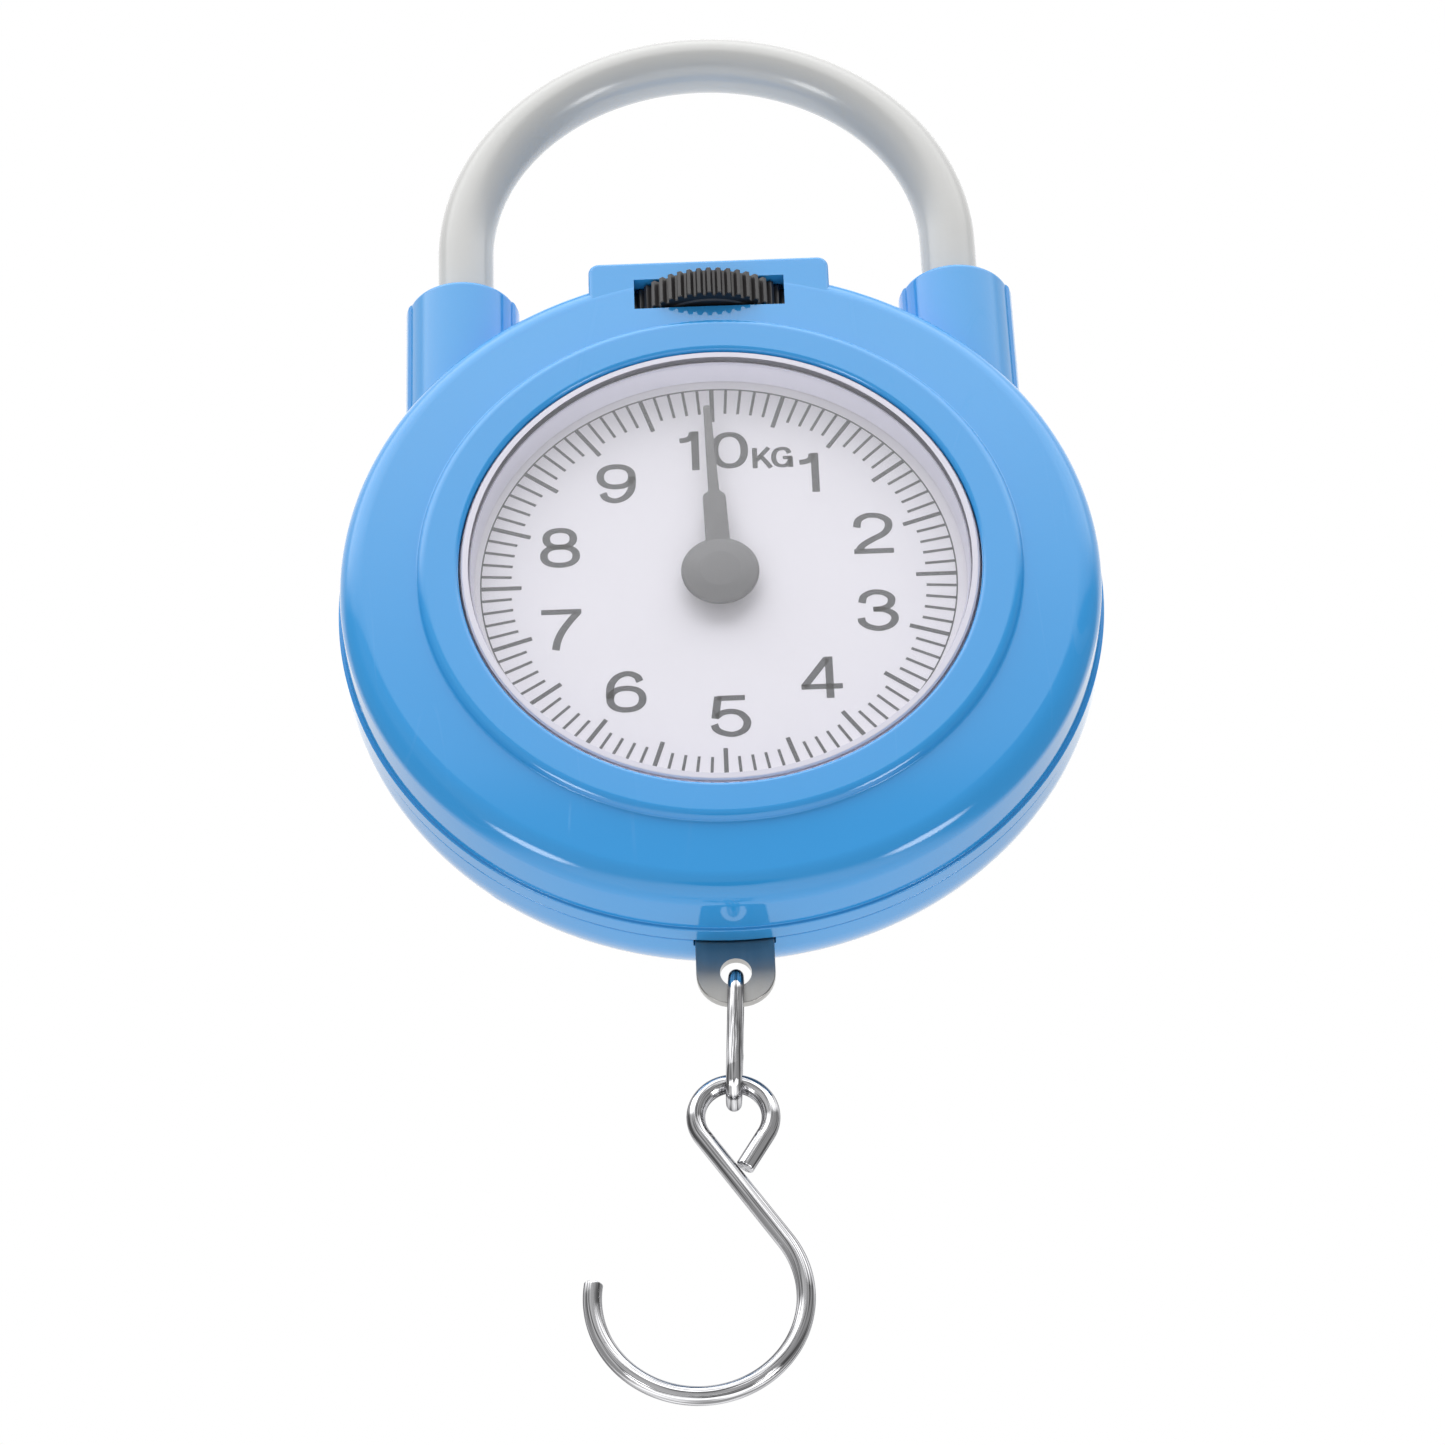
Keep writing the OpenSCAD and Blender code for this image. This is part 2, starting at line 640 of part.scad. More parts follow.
front_shell();
back_shell();
lens();
dial_plate();
pointer();
pointer_shaft();
pinion();
shaft_clip();
front_bush();
rear_bush();
chassis_plate();
chassis_screws();
bridge();
bridge_pillars();
bridge_screws();
rack();
rack_rivets();
rack_guide();
pull_plate();
plate_guide();
spring_left();
spring_right();
yoke();
zero_screw();
zero_wheel();
wheel_washer();
handle_tube();
handle_core();
handle_ferrules();
case_screws();
link();
hook();
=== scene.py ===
import math

import bmesh
import bpy
import numpy as np
from bpy.props import FloatProperty, FloatVectorProperty, PointerProperty
from mathutils import Matrix, Vector


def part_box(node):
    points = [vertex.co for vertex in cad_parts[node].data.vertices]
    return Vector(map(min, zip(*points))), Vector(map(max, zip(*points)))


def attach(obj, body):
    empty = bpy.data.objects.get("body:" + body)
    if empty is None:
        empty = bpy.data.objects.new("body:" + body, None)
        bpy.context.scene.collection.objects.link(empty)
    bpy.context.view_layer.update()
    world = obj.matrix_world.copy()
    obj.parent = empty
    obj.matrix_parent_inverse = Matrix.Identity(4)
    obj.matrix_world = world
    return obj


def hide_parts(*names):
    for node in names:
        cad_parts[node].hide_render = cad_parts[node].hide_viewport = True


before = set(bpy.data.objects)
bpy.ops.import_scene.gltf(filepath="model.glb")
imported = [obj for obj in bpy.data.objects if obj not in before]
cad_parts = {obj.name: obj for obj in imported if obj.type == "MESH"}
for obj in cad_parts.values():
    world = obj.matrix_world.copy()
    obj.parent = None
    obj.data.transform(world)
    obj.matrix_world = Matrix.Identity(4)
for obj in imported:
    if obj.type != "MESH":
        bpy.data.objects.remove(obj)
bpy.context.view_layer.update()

bl_info = {
    "name": "Hanging Dial Scale",
    "version": (1, 0, 0),
    "blender": (4, 5, 0),
    "location": "View3D > Sidebar > Dial Scale",
    "description": "Builds the visible surfaces, finishes and studio of a hanging dial scale round its packed frame",
    "category": "Add Mesh",
}

MM = 0.001
DIAL_Z = float((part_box("dial_plate")[0][2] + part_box("dial_plate")[1][2]) / 2)


def packed(name):
    """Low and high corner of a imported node's box, in millimetres from the centre of the dial."""
    low, high = (np.array([float(v) for v in corner]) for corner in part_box(name))
    return (low - [0, 0, DIAL_Z]) / MM, (high - [0, 0, DIAL_Z]) / MM


# Places are in millimetres: x to the right, y to the back from the parting plane, z up from the dial's
# centre.
DIAL_FACE = -packed("dial_plate")[0][1]
DIAL_R = 31.8
WHEEL_LOW, WHEEL_HIGH = packed("zero_wheel")
HUB_RISE = 0.9
WHEEL_Z0 = WHEEL_LOW[2]
WHEEL_Y = (WHEEL_LOW[1] + WHEEL_HIGH[1]) / 2
WHEEL_H = WHEEL_HIGH[2] - WHEEL_LOW[2] - HUB_RISE
TUBE_HIGH = packed("handle_tube")[1]
TUBE_R = 3.45
PLATE_LOW, PLATE_HIGH = packed("pull_plate")
PLATE_MID = (PLATE_LOW[1] + PLATE_HIGH[1]) / 2

# Case: the ring stands RING_RISE proud of the flat face, and the front shell's lip laps LIP_DEEP over
# the side.
RING_RISE = 1.15
LIP_DEEP = 2.4
LIP_WIDE = 0.4
TURN_STEPS = 384
TAB_HALF = 14.7
TAB_TOP = 45.3
TAB_BOTTOM = 35.2
BOSS_X = 30.6
BOSS_BOTTOM = 27.5
BOSS_TOP = packed("front_shell")[1][2]
SCREW_CIRCLE = 38.5
SCREWS = tuple(
    (SCREW_CIRCLE * math.cos(math.radians(a)), SCREW_CIRCLE * math.sin(math.radians(a))) for a in (28, 152,
    215, 325))
WHEEL_SLOT_HALF = 9.15
PLATE_SLOT_HALF = 4.7
WIRE_SIDES = 40


# ---- sizes and colours that a user may change ----

def length(name, text, millimetres):
    """Property for a length, shown in the scene's units."""
    return FloatProperty(name=name, description=text, default=millimetres * MM, min=0.0, unit="LENGTH",
        precision=5)


def colour(name, text, value):
    """Property for a finish's base colour."""
    return FloatVectorProperty(name=name, description=text, default=value, size=3, min=0.0, max=1.0,
        subtype="COLOR")


class ScaleSizes(bpy.types.PropertyGroup):
    """Sizes of the visible surfaces, in metres."""
    case_radius: length("Case radius", "Radius of the case over its lip", packed("back_shell")[1][0] + 0.15)
    front_depth: length("Front depth", "From the parting line to the ring round the lens",
        -packed("front_shell")[0][1])
    back_depth: length("Back depth", "From the parting line to the back face", packed("back_shell")[1][1])
    wall: length("Wall", "Wall thickness of both shells", 1.8)
    ring_radius: length("Ring radius", "Outer radius of the raised ring", 35.2)
    window_radius: length("Window radius", "Radius of the hole that the lens fills", 30.65)
    tube_radius: length("Tube radius", "Radius of the handle tube", TUBE_R)
    handle_radius: length("Handle radius", "Radius of the handle's arch at the tube's centreline",
        TUBE_HIGH[0] - TUBE_R)
    boss_radius: length("Boss radius", "Radius of the two posts that hold the handle", 6.7)
    wheel_radius: length("Wheel radius", "Radius of the zero wheel over its ribs", WHEEL_HIGH[0])
    hook_wire: length("Hook wire", "Wire diameter of the hook", 2.1)
    link_wire: length("Link wire", "Wire diameter of the link", 1.8)
    number_height: length("Number height", "Height of the dial's numbers", 5.7)


class ScaleColours(bpy.types.PropertyGroup):
    """Colours of the finishes."""
    shell: colour("Shell", "Glossy moulded shells", (0.034, 0.31, 0.71))
    dial: colour("Dial", "Printed card", (0.735, 0.72, 0.745))
    ink: colour("Ink", "Numbers and marks on the dial", (0.040, 0.042, 0.048))
    pointer: colour("Pointer", "Moulded pointer", (0.085, 0.085, 0.088))
    tube: colour("Tube", "Smooth handle tube", (0.50, 0.50, 0.49))
    wheel: colour("Wheel", "Moulded zero wheel", (0.024, 0.022, 0.023))
    steel: colour("Steel", "Bright plated wire", (0.42, 0.42, 0.43))


def brightness(name, text, value):
    """Property for the strength of one part of the light."""
    return FloatProperty(name=name, description=text, default=value, min=0.0)


class ScaleStudio(bpy.types.PropertyGroup):
    """Light and floor."""
    wall_light: brightness("Wall light", "Brightness of the white surroundings", 1.3)
    roof_light: brightness("Roof light", "Brightness of the wide panel above the reader", 3.2)
    front_light: brightness("Front light", "Brightness of the room in front of the dial", 0.5)
    side_light: brightness("Side light", "Brightness of the room to the left and right", 0.35)
    lamp_light: brightness("Lamp light", "Brightness of the two small lamps low at the left and right", 8.0)
    floor_drop: FloatProperty(name="Floor drop", description="Depth of the floor below the handle",
        default=1.0, min=0.5, unit="LENGTH")


def mm(name):
    """A user size in millimetres."""
    return getattr(bpy.context.scene.scale_sizes, name) / MM


# ---- meshes from arrays ----

def grid_faces(rows, columns, close_rows, close_columns):
    """Quads of a grid of points: each joins point (i, j) to (i+1, j), (i+1, j+1) and (i, j+1)."""
    i = np.arange(rows if close_rows else rows - 1)
    j = np.arange(columns if close_columns else columns - 1)
    i, j = (g.ravel() for g in np.meshgrid(i, j, indexing="ij"))
    i2, j2 = (i + 1) % rows, (j + 1) % columns
    return np.stack([i * columns + j, i2 * columns + j, i2 * columns + j2, i * columns + j2], 1)


def grid_part(points, close_rows=False, close_columns=False):
    """One surface from a grid of points, with a UV of (row, column) counted in grid steps."""
    rows, columns = points.shape[:2]
    faces = grid_faces(rows, columns, close_rows, close_columns)
    across = columns if close_columns else columns - 1
    down = rows if close_rows else rows - 1
    i, j = np.repeat(np.arange(down), across), np.tile(np.arange(across), down)
    uv = np.stack([np.stack([i + a, j + b], 1) for a, b in ((0, 0), (1, 0), (1, 1), (0, 1))], 1)
    return points.reshape(-1, 3), faces, uv.reshape(-1, 2).astype(float)


def mesh_of(name, parts):
    """Mesh from parts given in millimetres, lowered to the dial's height, its doubles merged and its faces
    turned outwards."""
    verts, faces, uvs, base = [], [], [], 0
    for points, quads, uv in parts:
        verts.append(points)
        faces.append(quads + base)
        uvs.append(uv)
        base += len(points)
    verts = np.concatenate(verts) * MM + np.array([0.0, 0.0, DIAL_Z])
    faces = np.concatenate(faces)
    mesh = bpy.data.meshes.new(name)
    mesh.from_pydata(verts, [], faces)
    layer = mesh.uv_layers.new(name="along")
    layer.data.foreach_set("uv", np.concatenate(uvs).astype(np.float32).ravel())
    work = bmesh.new()
    work.from_mesh(mesh)
    bmesh.ops.remove_doubles(work, verts=work.verts, dist=2e-7)
    bmesh.ops.dissolve_degenerate(work, edges=work.edges, dist=1e-7)
    bmesh.ops.recalc_face_normals(work, faces=work.faces)
    work.to_mesh(mesh)
    work.free()
    return mesh


def object_of(name, mesh):
    """New object in the scene, at the origin."""
    piece = bpy.data.objects.new(name, mesh)
    bpy.context.scene.collection.objects.link(piece)
    return piece


def rounded(corners, radii, steps=6, closed=True):
    """Outline through corners, each replaced by an arc of its radius that touches both sides; a radius of
    0 keeps the corner."""
    corners = np.asarray(corners, float)
    n, out = len(corners), []
    for k in range(n):
        p, r = corners[k], radii[k]
        if r <= 0 or (not closed and k in (0, n - 1)):
            out.append(p[None])
            continue
        a, b = corners[k - 1] - p, corners[(k + 1) % n] - p
        a, b = a / np.linalg.norm(a), b / np.linalg.norm(b)
        half = math.acos(max(-1.0, min(1.0, float(a @ b)))) / 2
        centre = p + (a + b) / np.linalg.norm(a + b) * r / math.sin(half)
        start, end = p + a * r / math.tan(half) - centre, p + b * r / math.tan(half) - centre
        sweep = math.pi - 2 * half
        t = np.linspace(0, 1, steps + 1)[:, None]
        out.append(centre + (np.sin((1 - t) * sweep) * start + np.sin(t * sweep) * end) / math.sin(sweep))
    return np.concatenate(out)


def softened(corners, steps, closed=True):
    """Outline through corners given as (across, up, radius)."""
    corners = np.asarray(corners, float)
    return rounded(corners[:, :2], corners[:, 2], steps, closed)


def arc(cx, cy, r, start, end, steps=24):
    """Points of a circle from one angle to another, in degrees."""
    a = np.radians(np.linspace(start, end, steps + 1))
    return np.stack([cx + r * np.cos(a), cy + r * np.sin(a)], 1)


def spline(points, steps=10):
    """Smooth curve through points: each span is the cubic whose end slopes are half the step between its
    neighbours."""
    p = np.asarray(points, float)
    p = np.vstack([2 * p[0] - p[1], p, 2 * p[-1] - p[-2]])
    t = np.linspace(0, 1, steps, endpoint=False)[None, :, None]
    a, b, c, d = (p[k:len(p) - 3 + k, None] for k in range(4))
    curve = 0.5 * (2 * b + (c - a) * t + (2 * a - 5 * b + 4 * c - d) * t ** 2 + (
        3 * b - a - 3 * c + d) * t ** 3)
    return np.vstack([curve.reshape(-1, p.shape[1]), p[-2]])


def turned(profile, segments=256, axis="y", centre=(0.0, 0.0, 0.0), closed=True):
    """Surface of revolution: point = centre + radius * (cos t, sin t) across the axis + height along it,
    for a profile of (radius, height)."""
    profile = np.asarray(profile, float)
    t = np.linspace(0, 2 * np.pi, segments, endpoint=False)[None, :]
    r, h = profile[:, :1], profile[:, 1:2]
    flat = np.zeros_like(t) + h
    if axis == "y":
        points = np.stack([centre[0] + r * np.cos(t), centre[1] + flat, centre[2] + r * np.sin(t)], -1)
    else:
        points = np.stack([centre[0] + r * np.cos(t), centre[1] + r * np.sin(t), centre[2] + flat], -1)
    return grid_part(points, closed, True)


def slab(outline, back, front, edge=0.0, steps=4):
    """Plate in the XZ plane between two depths, its rim rounded: ring k is the outline moved inwards by
    edge * (1 - cos a) at depth edge * (1 - sin a)."""
    outline = np.asarray(outline, float)
    step = np.roll(outline, -1, 0) - np.roll(outline, 1, 0)
    inward = np.stack([-step[:, 1], step[:, 0]], 1) / np.linalg.norm(step, axis=1)[:, None]
    area = np.sum(outline[:, 0] * np.roll(outline[:, 1], -1) - np.roll(outline[:, 0], -1) * outline[:, 1])
    inward = inward * (1 if area > 0 else -1)
    a = np.radians(np.linspace(90, 0, steps + 1)) if edge > 0 else np.array([0.0])
    inset, deep = edge * (1 - np.cos(a)), edge * (1 - np.sin(a))
    insets = np.concatenate([inset, inset[::-1]])
    depths = np.concatenate([front + deep, back - deep[::-1]])
    rings = outline[None] + insets[:, None, None] * inward[None]
    return np.stack([rings[..., 0], np.broadcast_to(depths[:, None], rings.shape[:2]), rings[..., 1]], -1)


def slab_mesh(name, outline, back, front, edge=0.0, steps=4):
    """Closed mesh of a slab: its rim is a grid and each face is one flat polygon."""
    mesh = mesh_of(name, [grid_part(slab(outline, back, front, edge, steps), False, True)])
    work = bmesh.new()
    work.from_mesh(mesh)
    rim = [e for e in work.edges if e.is_boundary]
    bmesh.ops.contextual_create(work,
        geom=[e for e in rim if all(abs(v.co.y - front * MM) < 1e-6 for v in e.verts)])
    bmesh.ops.contextual_create(work, geom=[e for e in work.edges if e.is_boundary])
    bmesh.ops.recalc_face_normals(work, faces=work.faces)
    work.to_mesh(mesh)
    work.free()
    return mesh


def tube_along(path, radius, side, segments=32, closed=False, end_round=0.0, end_steps=5):
    """Round wire along a path in a plane: ring = point + radius * (cos t * across + sin t * side), where
    across is square to the path and to side. Open ends close with a rim of radius end_round and a flat face."""
    path = np.asarray(path, float)
    side = np.asarray(side, float) / np.linalg.norm(side)
    if closed:
        along = np.roll(path, -1, 0) - np.roll(path, 1, 0)
    else:
        along = np.gradient(path, axis=0)
    along = along / np.linalg.norm(along, axis=1)[:, None]
    radius = np.broadcast_to(np.asarray(radius, float), (len(path),)).copy()
    if not closed:
        k = np.radians(np.linspace(0, 90, end_steps + 1))
        shrink, out = end_round * (1 - np.cos(k)), end_round * np.sin(k)
        first = path[0] + along[:1] * (end_round - out[::-1, None])
        last = path[-1] - along[-1:] * (end_round - out[:, None])
        keep = slice(1, -1)
        path = np.vstack([first[:1], first, path[keep], last, last[-1:]])
        radius = np.concatenate([[0.0], radius[0] - shrink[::-1], radius[keep], radius[-1] - shrink, [0.0]])
        n0, n1 = len(first) + 1, len(last) + 1
        along = np.vstack([np.repeat(along[:1], n0, 0), along[keep], np.repeat(along[-1:], n1, 0)])
    across = np.cross(side, along)
    across = across / np.linalg.norm(across, axis=1)[:, None]
    t = np.linspace(0, 2 * np.pi, segments, endpoint=False)
    ring = np.cos(t)[None, :, None] * across[:, None] + np.sin(t)[None, :, None] * side
    return grid_part(path[:, None] + radius[:, None, None] * ring, closed, True)


def combine(base, tool, operation="DIFFERENCE"):
    """Cuts tool from base, or joins or intersects them, and removes tool."""
    change = base.modifiers.new("shape", "BOOLEAN")
    change.operation, change.object, change.solver = operation, tool, "EXACT"
    bpy.context.view_layer.update()
    graph = bpy.context.evaluated_depsgraph_get()
    mesh = bpy.data.meshes.new_from_object(base.evaluated_get(graph))
    base.modifiers.clear()
    old, base.data = base.data, mesh
    bpy.data.meshes.remove(old)
    old = tool.data
    bpy.data.objects.remove(tool)
    bpy.data.meshes.remove(old)
    return base


def drill(base, radius, back, front, x=0.0, z=0.0, axis="y", segments=96):
    """Cuts a round hole between two depths along Y, or two heights along Z."""
    profile = [(0, back), (radius, back), (radius, front), (0, front)]
    centre = (x, 0, z) if axis == "y" else (x, z, 0)
    return combine(base, object_of("tool", mesh_of("tool", [turned(profile, segments, axis, centre)])))


def box_tool(x0, x1, y0, y1, z0, z1):
    """Plain box that cuts a straight opening."""
    outline = np.array([(x0, z0), (x1, z0), (x1, z1), (x0, z1)], float)
    return object_of("tool", slab_mesh("tool", outline, y1, y0))


def finish_piece(piece, body, replaces, finish, angle=32):
    """Smooth shading with crisp edges over an angle, the finish, and the body that the piece rides on."""
    mesh = piece.data
    mesh.materials.clear()
    mesh.materials.append(finish)
    mesh.shade_smooth()
    mesh.set_sharp_from_angle(angle=math.radians(angle))
    weigh = piece.modifiers.new("weighted normals", "WEIGHTED_NORMAL")
    weigh.keep_sharp = True
    weigh.weight = 50
    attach(piece, body)
    if replaces:
        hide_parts(*replaces)
    return piece


# ---- finishes ----

def group_of(name, inputs, outputs):
    """Empty node group with named sockets; inputs and outputs are (name, kind, default)."""
    tree = bpy.data.node_groups.new(name, "ShaderNodeTree")
    for label, kind, default in inputs:
        socket = tree.interface.new_socket(label, in_out="INPUT", socket_type=kind)
        if default is not None:
            socket.default_value = default
    for label, kind in outputs:
        tree.interface.new_socket(label, in_out="OUTPUT", socket_type=kind)
    return tree, tree.nodes.new("NodeGroupInput"), tree.nodes.new("NodeGroupOutput")


def node(tree, kind, values=None, links=None, **settings):
    """New node with its settings, plain input values and links from other nodes' outputs."""
    made = tree.nodes.new(kind)
    for key, value in settings.items():
        setattr(made, key, value)
    for key, value in (values or {}).items():
        made.inputs[key].default_value = value
    for key, socket in (links or {}).items():
        tree.links.new(socket, made.inputs[key])
    return made


def noise(tree, vector, scale, detail=3.0, rough=0.5):
    """Noise from 0 to 1 over a vector."""
    values = {"Scale": scale, "Detail": detail, "Roughness": rough}
    return node(tree, "ShaderNodeTexNoise", values, {"Vector": vector}).outputs["Fac"]


def remap(tree, value, low, high, to_low=0.0, to_high=1.0, curve="LINEAR"):
    """Carries a value from one range to another, held at its ends."""
    values = {"From Min": low, "From Max": high, "To Min": to_low, "To Max": to_high}
    return node(tree, "ShaderNodeMapRange", values, {"Value": value},
        interpolation_type=curve).outputs["Result"]


def maths(tree, operation, a, b=0.0):
    """One step of arithmetic on sockets or plain numbers."""
    made = node(tree, "ShaderNodeMath", operation=operation)
    for k, v in enumerate((a, b)):
        if hasattr(v, "node"):
            tree.links.new(v, made.inputs[k])
        else:
            made.inputs[k].default_value = v
    return made.outputs[0]


def mixed(tree, amount, a, b):
    """Mix of two colours by an amount that varies over the surface."""
    made = node(tree, "ShaderNodeMix", data_type="RGBA")
    for socket, v in ((made.inputs[0], amount), (made.inputs[6], a), (made.inputs[7], b)):
        if hasattr(v, "node"):
            tree.links.new(v, socket)
        else:
            socket.default_value = v
    return made.outputs[2]


def moulded_skin_group():
    """Moulded plastic: slow drift of tone, a fine skin, and faint rub marks."""
    tree, start, end = group_of(
        "Moulded Skin",
        [("Vector", "NodeSocketVector", None), ("Colour", "NodeSocketColor", (0.5, 0.5, 0.5, 1)),
         ("Drift", "NodeSocketFloat", 0.08), ("Roughness", "NodeSocketFloat", 0.2),
         ("Roughness Spread", "NodeSocketFloat", 0.06), ("Grain Scale", "NodeSocketFloat", 2500.0)],
        [("Colour", "NodeSocketColor"), ("Roughness", "NodeSocketFloat"), ("Height", "NodeSocketFloat")])
    vector = start.outputs["Vector"]
    slow = noise(tree, vector, 38.0, 2.0, 0.55)
    fine = noise(tree, vector, 420.0, 4.0, 0.6)
    tone = maths(tree, "ADD", maths(tree, "MULTIPLY", slow, 0.7), maths(tree, "MULTIPLY", fine, 0.3))
    swing = maths(tree, "MULTIPLY", maths(tree, "SUBTRACT", tone, 0.5),
        maths(tree, "MULTIPLY", start.outputs["Drift"], 2.0))
    shade = node(tree, "ShaderNodeHueSaturation", {"Saturation": 1.0, "Hue": 0.5},
        {"Color": start.outputs["Colour"], "Value": maths(tree, "ADD", swing, 1.0)})
    tree.links.new(shade.outputs[0], end.inputs["Colour"])
    patch = maths(tree, "SUBTRACT", noise(tree, vector, 140.0, 5.0, 0.65), 0.5)
    rough = maths(tree, "ADD", start.outputs["Roughness"],
        maths(tree, "MULTIPLY", patch, start.outputs["Roughness Spread"]))
    tree.links.new(rough, end.inputs["Roughness"])
    grain = node(tree, "ShaderNodeTexNoise", {"Detail": 2.0},
        {"Vector": vector, "Scale": start.outputs["Grain Scale"]})
    tree.links.new(grain.outputs["Fac"], end.inputs["Height"])
    return tree


def hairlines_group():
    """Fine random hairlines: thin bands of a stretched noise, turned two ways."""
    tree, start, end = group_of(
        "Hairlines",
        [("Vector", "NodeSocketVector", None), ("Scale", "NodeSocketFloat", 90.0),
        ("Width", "NodeSocketFloat", 0.02)],
        [("Mask", "NodeSocketFloat")])
    masks = []
    for turn in (0.5, 2.1):
        place = node(tree, "ShaderNodeMapping",
            {"Rotation": (0.3 * turn, turn, 0.2), "Scale": (1.0, 1.0, 0.12)},
            {"Vector": start.outputs["Vector"]})
        field = node(tree, "ShaderNodeTexNoise", {"Detail": 1.0},
            {"Vector": place.outputs[0], "Scale": start.outputs["Scale"]}).outputs["Fac"]
        near = maths(tree, "ABSOLUTE", maths(tree, "SUBTRACT", field, 0.5))
        line = maths(tree, "LESS_THAN", near, maths(tree, "MULTIPLY", start.outputs["Width"], 0.1))
        patch = remap(tree, noise(tree, start.outputs["Vector"], 60.0 * turn, 2.0), 0.5, 0.65)
        masks.append(maths(tree, "MULTIPLY", line, patch))
    tree.links.new(maths(tree, "MAXIMUM", *masks), end.inputs["Mask"])
    return tree


def drawn_metal_group():
    """Drawn or rolled metal: lines along one direction of the given vector, and a cloudy tone."""
    tree, start, end = group_of(
        "Drawn Metal",
        [("Vector", "NodeSocketVector", None), ("Colour", "NodeSocketColor", (0.6, 0.6, 0.6, 1)),
        ("Lines", "NodeSocketFloat", 60.0),
         ("Stretch", "NodeSocketFloat", 0.02), ("Roughness", "NodeSocketFloat", 0.18),
         ("Spread", "NodeSocketFloat", 0.12)],
        [("Colour", "NodeSocketColor"), ("Roughness", "NodeSocketFloat"), ("Height", "NodeSocketFloat")])
    parts = node(tree, "ShaderNodeSeparateXYZ", links={"Vector": start.outputs["Vector"]})
    squeezed = node(tree, "ShaderNodeCombineXYZ", links={
        "X": maths(tree, "MULTIPLY", parts.outputs[0], start.outputs["Stretch"]), "Y": parts.outputs[1],
        "Z": parts.outputs[2]})
    lines = node(tree, "ShaderNodeTexNoise", {"Detail": 4.0, "Roughness": 0.65},
        {"Vector": squeezed.outputs[0], "Scale": start.outputs["Lines"]}).outputs["Fac"]
    cloud = node(tree, "ShaderNodeTexNoise", {"Detail": 3.0, "Scale": 3.0},
        {"Vector": start.outputs["Vector"]}).outputs["Fac"]
    both = maths(tree, "ADD", maths(tree, "MULTIPLY", lines, 0.6), maths(tree, "MULTIPLY", cloud, 0.4))
    centred = maths(tree, "SUBTRACT", both, 0.5)
    shade = node(tree, "ShaderNodeHueSaturation", {"Saturation": 1.0, "Hue": 0.5}, {
        "Color": start.outputs["Colour"],
        "Value": maths(tree, "ADD", maths(tree, "MULTIPLY", centred, 0.35), 1.0)})
    tree.links.new(shade.outputs[0], end.inputs["Colour"])
    tree.links.new(maths(tree, "ADD", start.outputs["Roughness"],
        maths(tree, "MULTIPLY", centred, start.outputs["Spread"])), end.inputs["Roughness"])
    tree.links.new(lines, end.inputs["Height"])
    return tree


def new_finish(name):
    """Material with its Principled shader, its output and Object coordinates."""
    material = bpy.data.materials.new(name)
    material.use_nodes = True
    tree = material.node_tree
    shader = tree.nodes["Principled BSDF"]
    coords = tree.nodes.new("ShaderNodeTexCoord")
    return material, tree, shader, coords.outputs["Object"]


def use_group(tree, name, links, **values):
    """Places a node group with its own values and links."""
    made = tree.nodes.new("ShaderNodeGroup")
    made.node_tree = bpy.data.node_groups[name]
    for key, value in values.items():
        made.inputs[key.replace("_", " ")].default_value = value
    for key, socket in links.items():
        tree.links.new(socket, made.inputs[key])
    return made


def bump(tree, shader, height, strength, distance):
    """Feeds a height to the shader's normal; distance is in metres."""
    made = node(tree, "ShaderNodeBump", {"Strength": strength, "Distance": distance}, {"Height": height})
    tree.links.new(made.outputs[0], shader.inputs["Normal"])


def rgba(value):
    """Colour with a full alpha."""
    return (*value, 1.0)


def plastic(name, tone, roughness, spread=0.05, drift=0.06, grain=2500.0, depth=0.00001, strength=0.15,
        marks=0.0, **sockets):
    """Moulded plastic finish from Moulded Skin, with hairlines that lighten it a little where marks is
    above 0."""
    material, tree, shader, place = new_finish(name)
    skin = use_group(tree, "Moulded Skin", {"Vector": place}, Colour=rgba(tone), Drift=drift,
        Roughness=roughness, Roughness_Spread=spread, Grain_Scale=grain)
    tint, rough = skin.outputs["Colour"], skin.outputs["Roughness"]
    if marks > 0:
        lines = use_group(tree, "Hairlines", {"Vector": place}, Scale=70.0, Width=0.03).outputs["Mask"]
        faint = maths(tree, "MULTIPLY", lines, marks)
        tint = mixed(tree, faint, tint, rgba([min(1.0, 0.35 + c) for c in tone]))
        rough = maths(tree, "ADD", rough, maths(tree, "MULTIPLY", lines, 0.18))
    tree.links.new(tint, shader.inputs["Base Color"])
    tree.links.new(rough, shader.inputs["Roughness"])
    for key, value in sockets.items():
        shader.inputs[key.replace("_", " ")].default_value = value
    bump(tree, shader, skin.outputs["Height"], strength, depth)
    return material


def metal(name, tone, roughness, spread, lines, stretch, strength, scale=(1, 1, 1)):
    """Metal finish from Drawn Metal on Object coordinates; scale draws its lines out along an axis."""
    material, tree, shader, place = new_finish(name)
    place = node(tree, "ShaderNodeMapping", {"Scale": scale}, {"Vector": place}).outputs[0]
    drawn = use_group(tree, "Drawn Metal", {"Vector": place}, Colour=rgba(tone), Lines=lines,
        Stretch=stretch, Roughness=roughness, Spread=spread)
    tree.links.new(drawn.outputs["Colour"], shader.inputs["Base Color"])
    tree.links.new(drawn.outputs["Roughness"], shader.inputs["Roughness"])
    shader.inputs["Metallic"].default_value = 1.0
    bump(tree, shader, drawn.outputs["Height"], strength, 0.00001)
    return material


